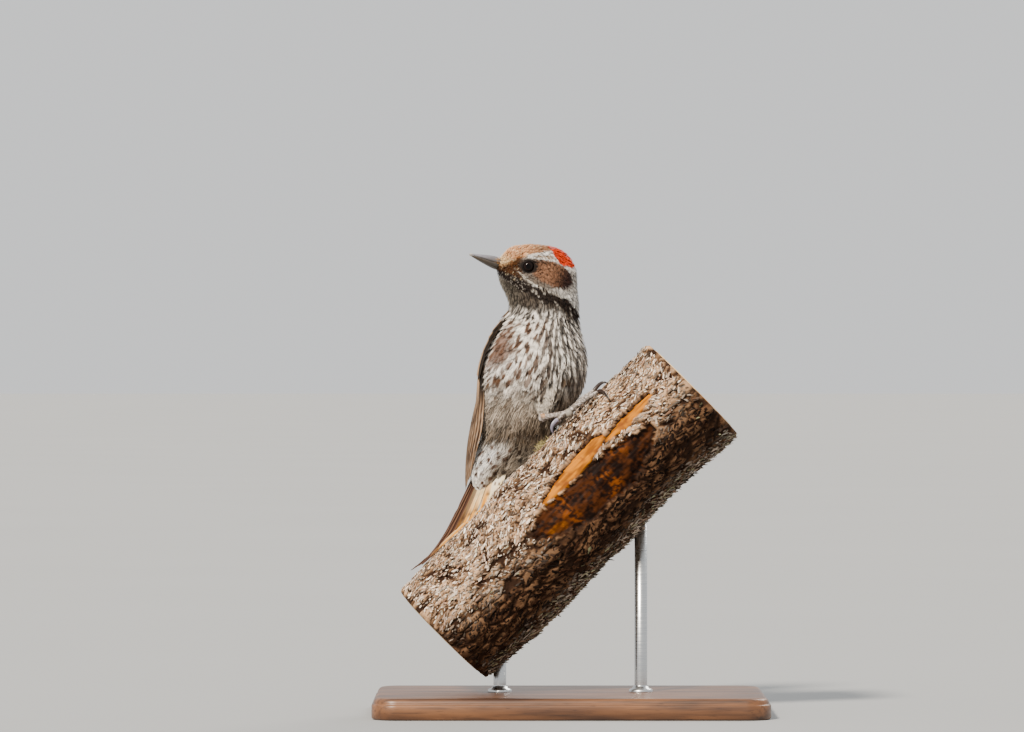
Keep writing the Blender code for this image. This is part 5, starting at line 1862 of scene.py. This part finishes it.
def build_bark_flakes(heights):
    """Thin dry scales of bark all over the perch, which lie along it and lift at one end."""
    rng = np.random.default_rng(31)
    along, angle, core, under, rim = flake_places(rng, heights)
    points, loose = flake_points(rng, along, angle, core, under, rim)
    colours = flake_colours(rng, under, rim, loose)
    n = FLAKE_SIDES
    ring = np.arange(n)
    triangles = np.concatenate((fan_faces(ring, 2 * n), fan_faces(ring + n, 2 * n + 1, True)))
    walls = np.stack((np.roll(ring, -1), ring, ring + n, np.roll(ring, -1) + n), -1)
    upper_half = along > sum(PERCH_ENDS) / 2
    for name, half in (("bark_flakes_low", ~upper_half), ("bark_flakes_high", upper_half)):
        shape = Shape()
        shape.add(points[half], copied((triangles, walls), half.sum(), 2 * n + 2), colours[half])
        shape.piece(name, BARK).data.shade_flat()


# ---- the stand ----

ROD_SIDES = 48
BOARD_CORNER = 12.0
BOARD_PROFILE = (                   # how far in from the board's edge, and the height
    (1.2, 0.0), (0.5, 0.25), (0.0, 1.0), (0.0, 6.4), (0.25, 6.9), (0.9, 7.1), (1.0, 7.6), (1.15, 8.5),
    (1.7, 9.3), (2.6, 9.85))


def build_stand():
    walnut, steel = oiled_walnut(), brushed_steel()
    low, high = (np.array(corner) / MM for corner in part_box("stand_base"))
    half = (high - low)[:2] / 2
    rings = []
    for inset, height in (*BOARD_PROFILE, (3.6, high[2]), (9.0, high[2])):
        ring = []
        radius = max(BOARD_CORNER - inset, 3.0)
        for quarter, (x, y) in enumerate(((1, 1), (-1, 1), (-1, -1), (1, -1))):
            for t in np.linspace(0, math.pi / 2, 13):
                turn = t + quarter * math.pi / 2
                ring.append((x * (half[0] - inset - radius) + radius * math.cos(turn),
                             y * (half[1] - inset - radius) + radius * math.sin(turn), height))
        rings.append(ring)
    board = Shape()
    board.tube(np.array(rings))
    board.piece("stand_board", walnut, ("stand_base",))
    for place in ("lower", "upper"):
        low, high = (np.array(corner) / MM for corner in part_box(f"stand_rod_{place}"))
        x, radius = (low[0] + high[0]) / 2, (high[0] - low[0]) / 2
        profile = ((radius, low[2] + 0.2), (radius, 9.0), (radius + 2.6, 9.2), (radius + 2.6, 10.6),
                   (radius + 2.3, 11.3), (radius + 1.0, 11.9), (radius + 0.6, 12.6), (radius, 12.9),
                   (radius, 13.4), (radius, high[2]))
        turns = circle(ROD_SIDES)
        rings = [np.column_stack((x + r * np.cos(turns), r * np.sin(turns), np.full(ROD_SIDES, z)))
                 for r, z in profile]
        rod = Shape()
        rod.tube(rings)
        rod.piece(f"steel_rod_{place}", steel, (f"stand_rod_{place}",))


# ---- floor, light and camera ----

VIEW_CENTRE = np.array((-27.3, 10.0, 162.6))
VIEW_DISTANCE = 2600.0
VIEW_WIDTH = 481.3                  # across the picture, at the bird
SENSOR = 36.0


def build_studio():
    size = 30.0
    mesh = bpy.data.meshes.new("floor")
    corners = [(-size, -size, 0), (size, -size, 0), (size, size, 0), (-size, size, 0)]
    mesh.from_pydata(corners, [], [(0, 1, 2, 3)])
    mesh.materials.append(studio_floor())
    floor = put("floor", mesh)

    world = bpy.data.worlds.new("studio")
    bpy.context.scene.world = world
    world.use_nodes = True
    backdrop = world.node_tree.nodes["Background"]
    backdrop.inputs["Color"].default_value = (*linear("#f2f3f4"), 1.0)
    backdrop.inputs["Strength"].default_value = 1.0

    for name, place, energy, spread, colour in (
        ("key", (-900, -1500, 1500), 7.3, 8, "#fff3e3"),
        ("rim", (900, 1300, 1300), 1.5, 20, "#fffaf2"),
    ):
        data = bpy.data.lights.new(name, "SUN")
        data.energy, data.angle = energy, math.radians(spread)
        data.color = linear(colour)
        light = put(name, data)
        light.location = np.array(place) * MM
        light.rotation_euler = Vector(-light.location).to_track_quat("-Z", "Y").to_euler()

    data = bpy.data.cameras.new("camera")
    data.sensor_width = SENSOR
    data.lens = SENSOR * VIEW_DISTANCE / VIEW_WIDTH
    data.clip_end = 100.0
    camera = put("camera", data)
    camera.location = (VIEW_CENTRE - (0, VIEW_DISTANCE, 0)) * MM
    camera.rotation_euler = (math.pi / 2, 0, 0)
    bpy.context.scene.camera = camera


build_studio()
build_skin()
build_coat()
build_wings()
build_tail()
build_bill()
build_nasal_tufts()
build_eyes()
for leg in THIGHS:
    build_leg(leg)
build_perch()
build_stand()
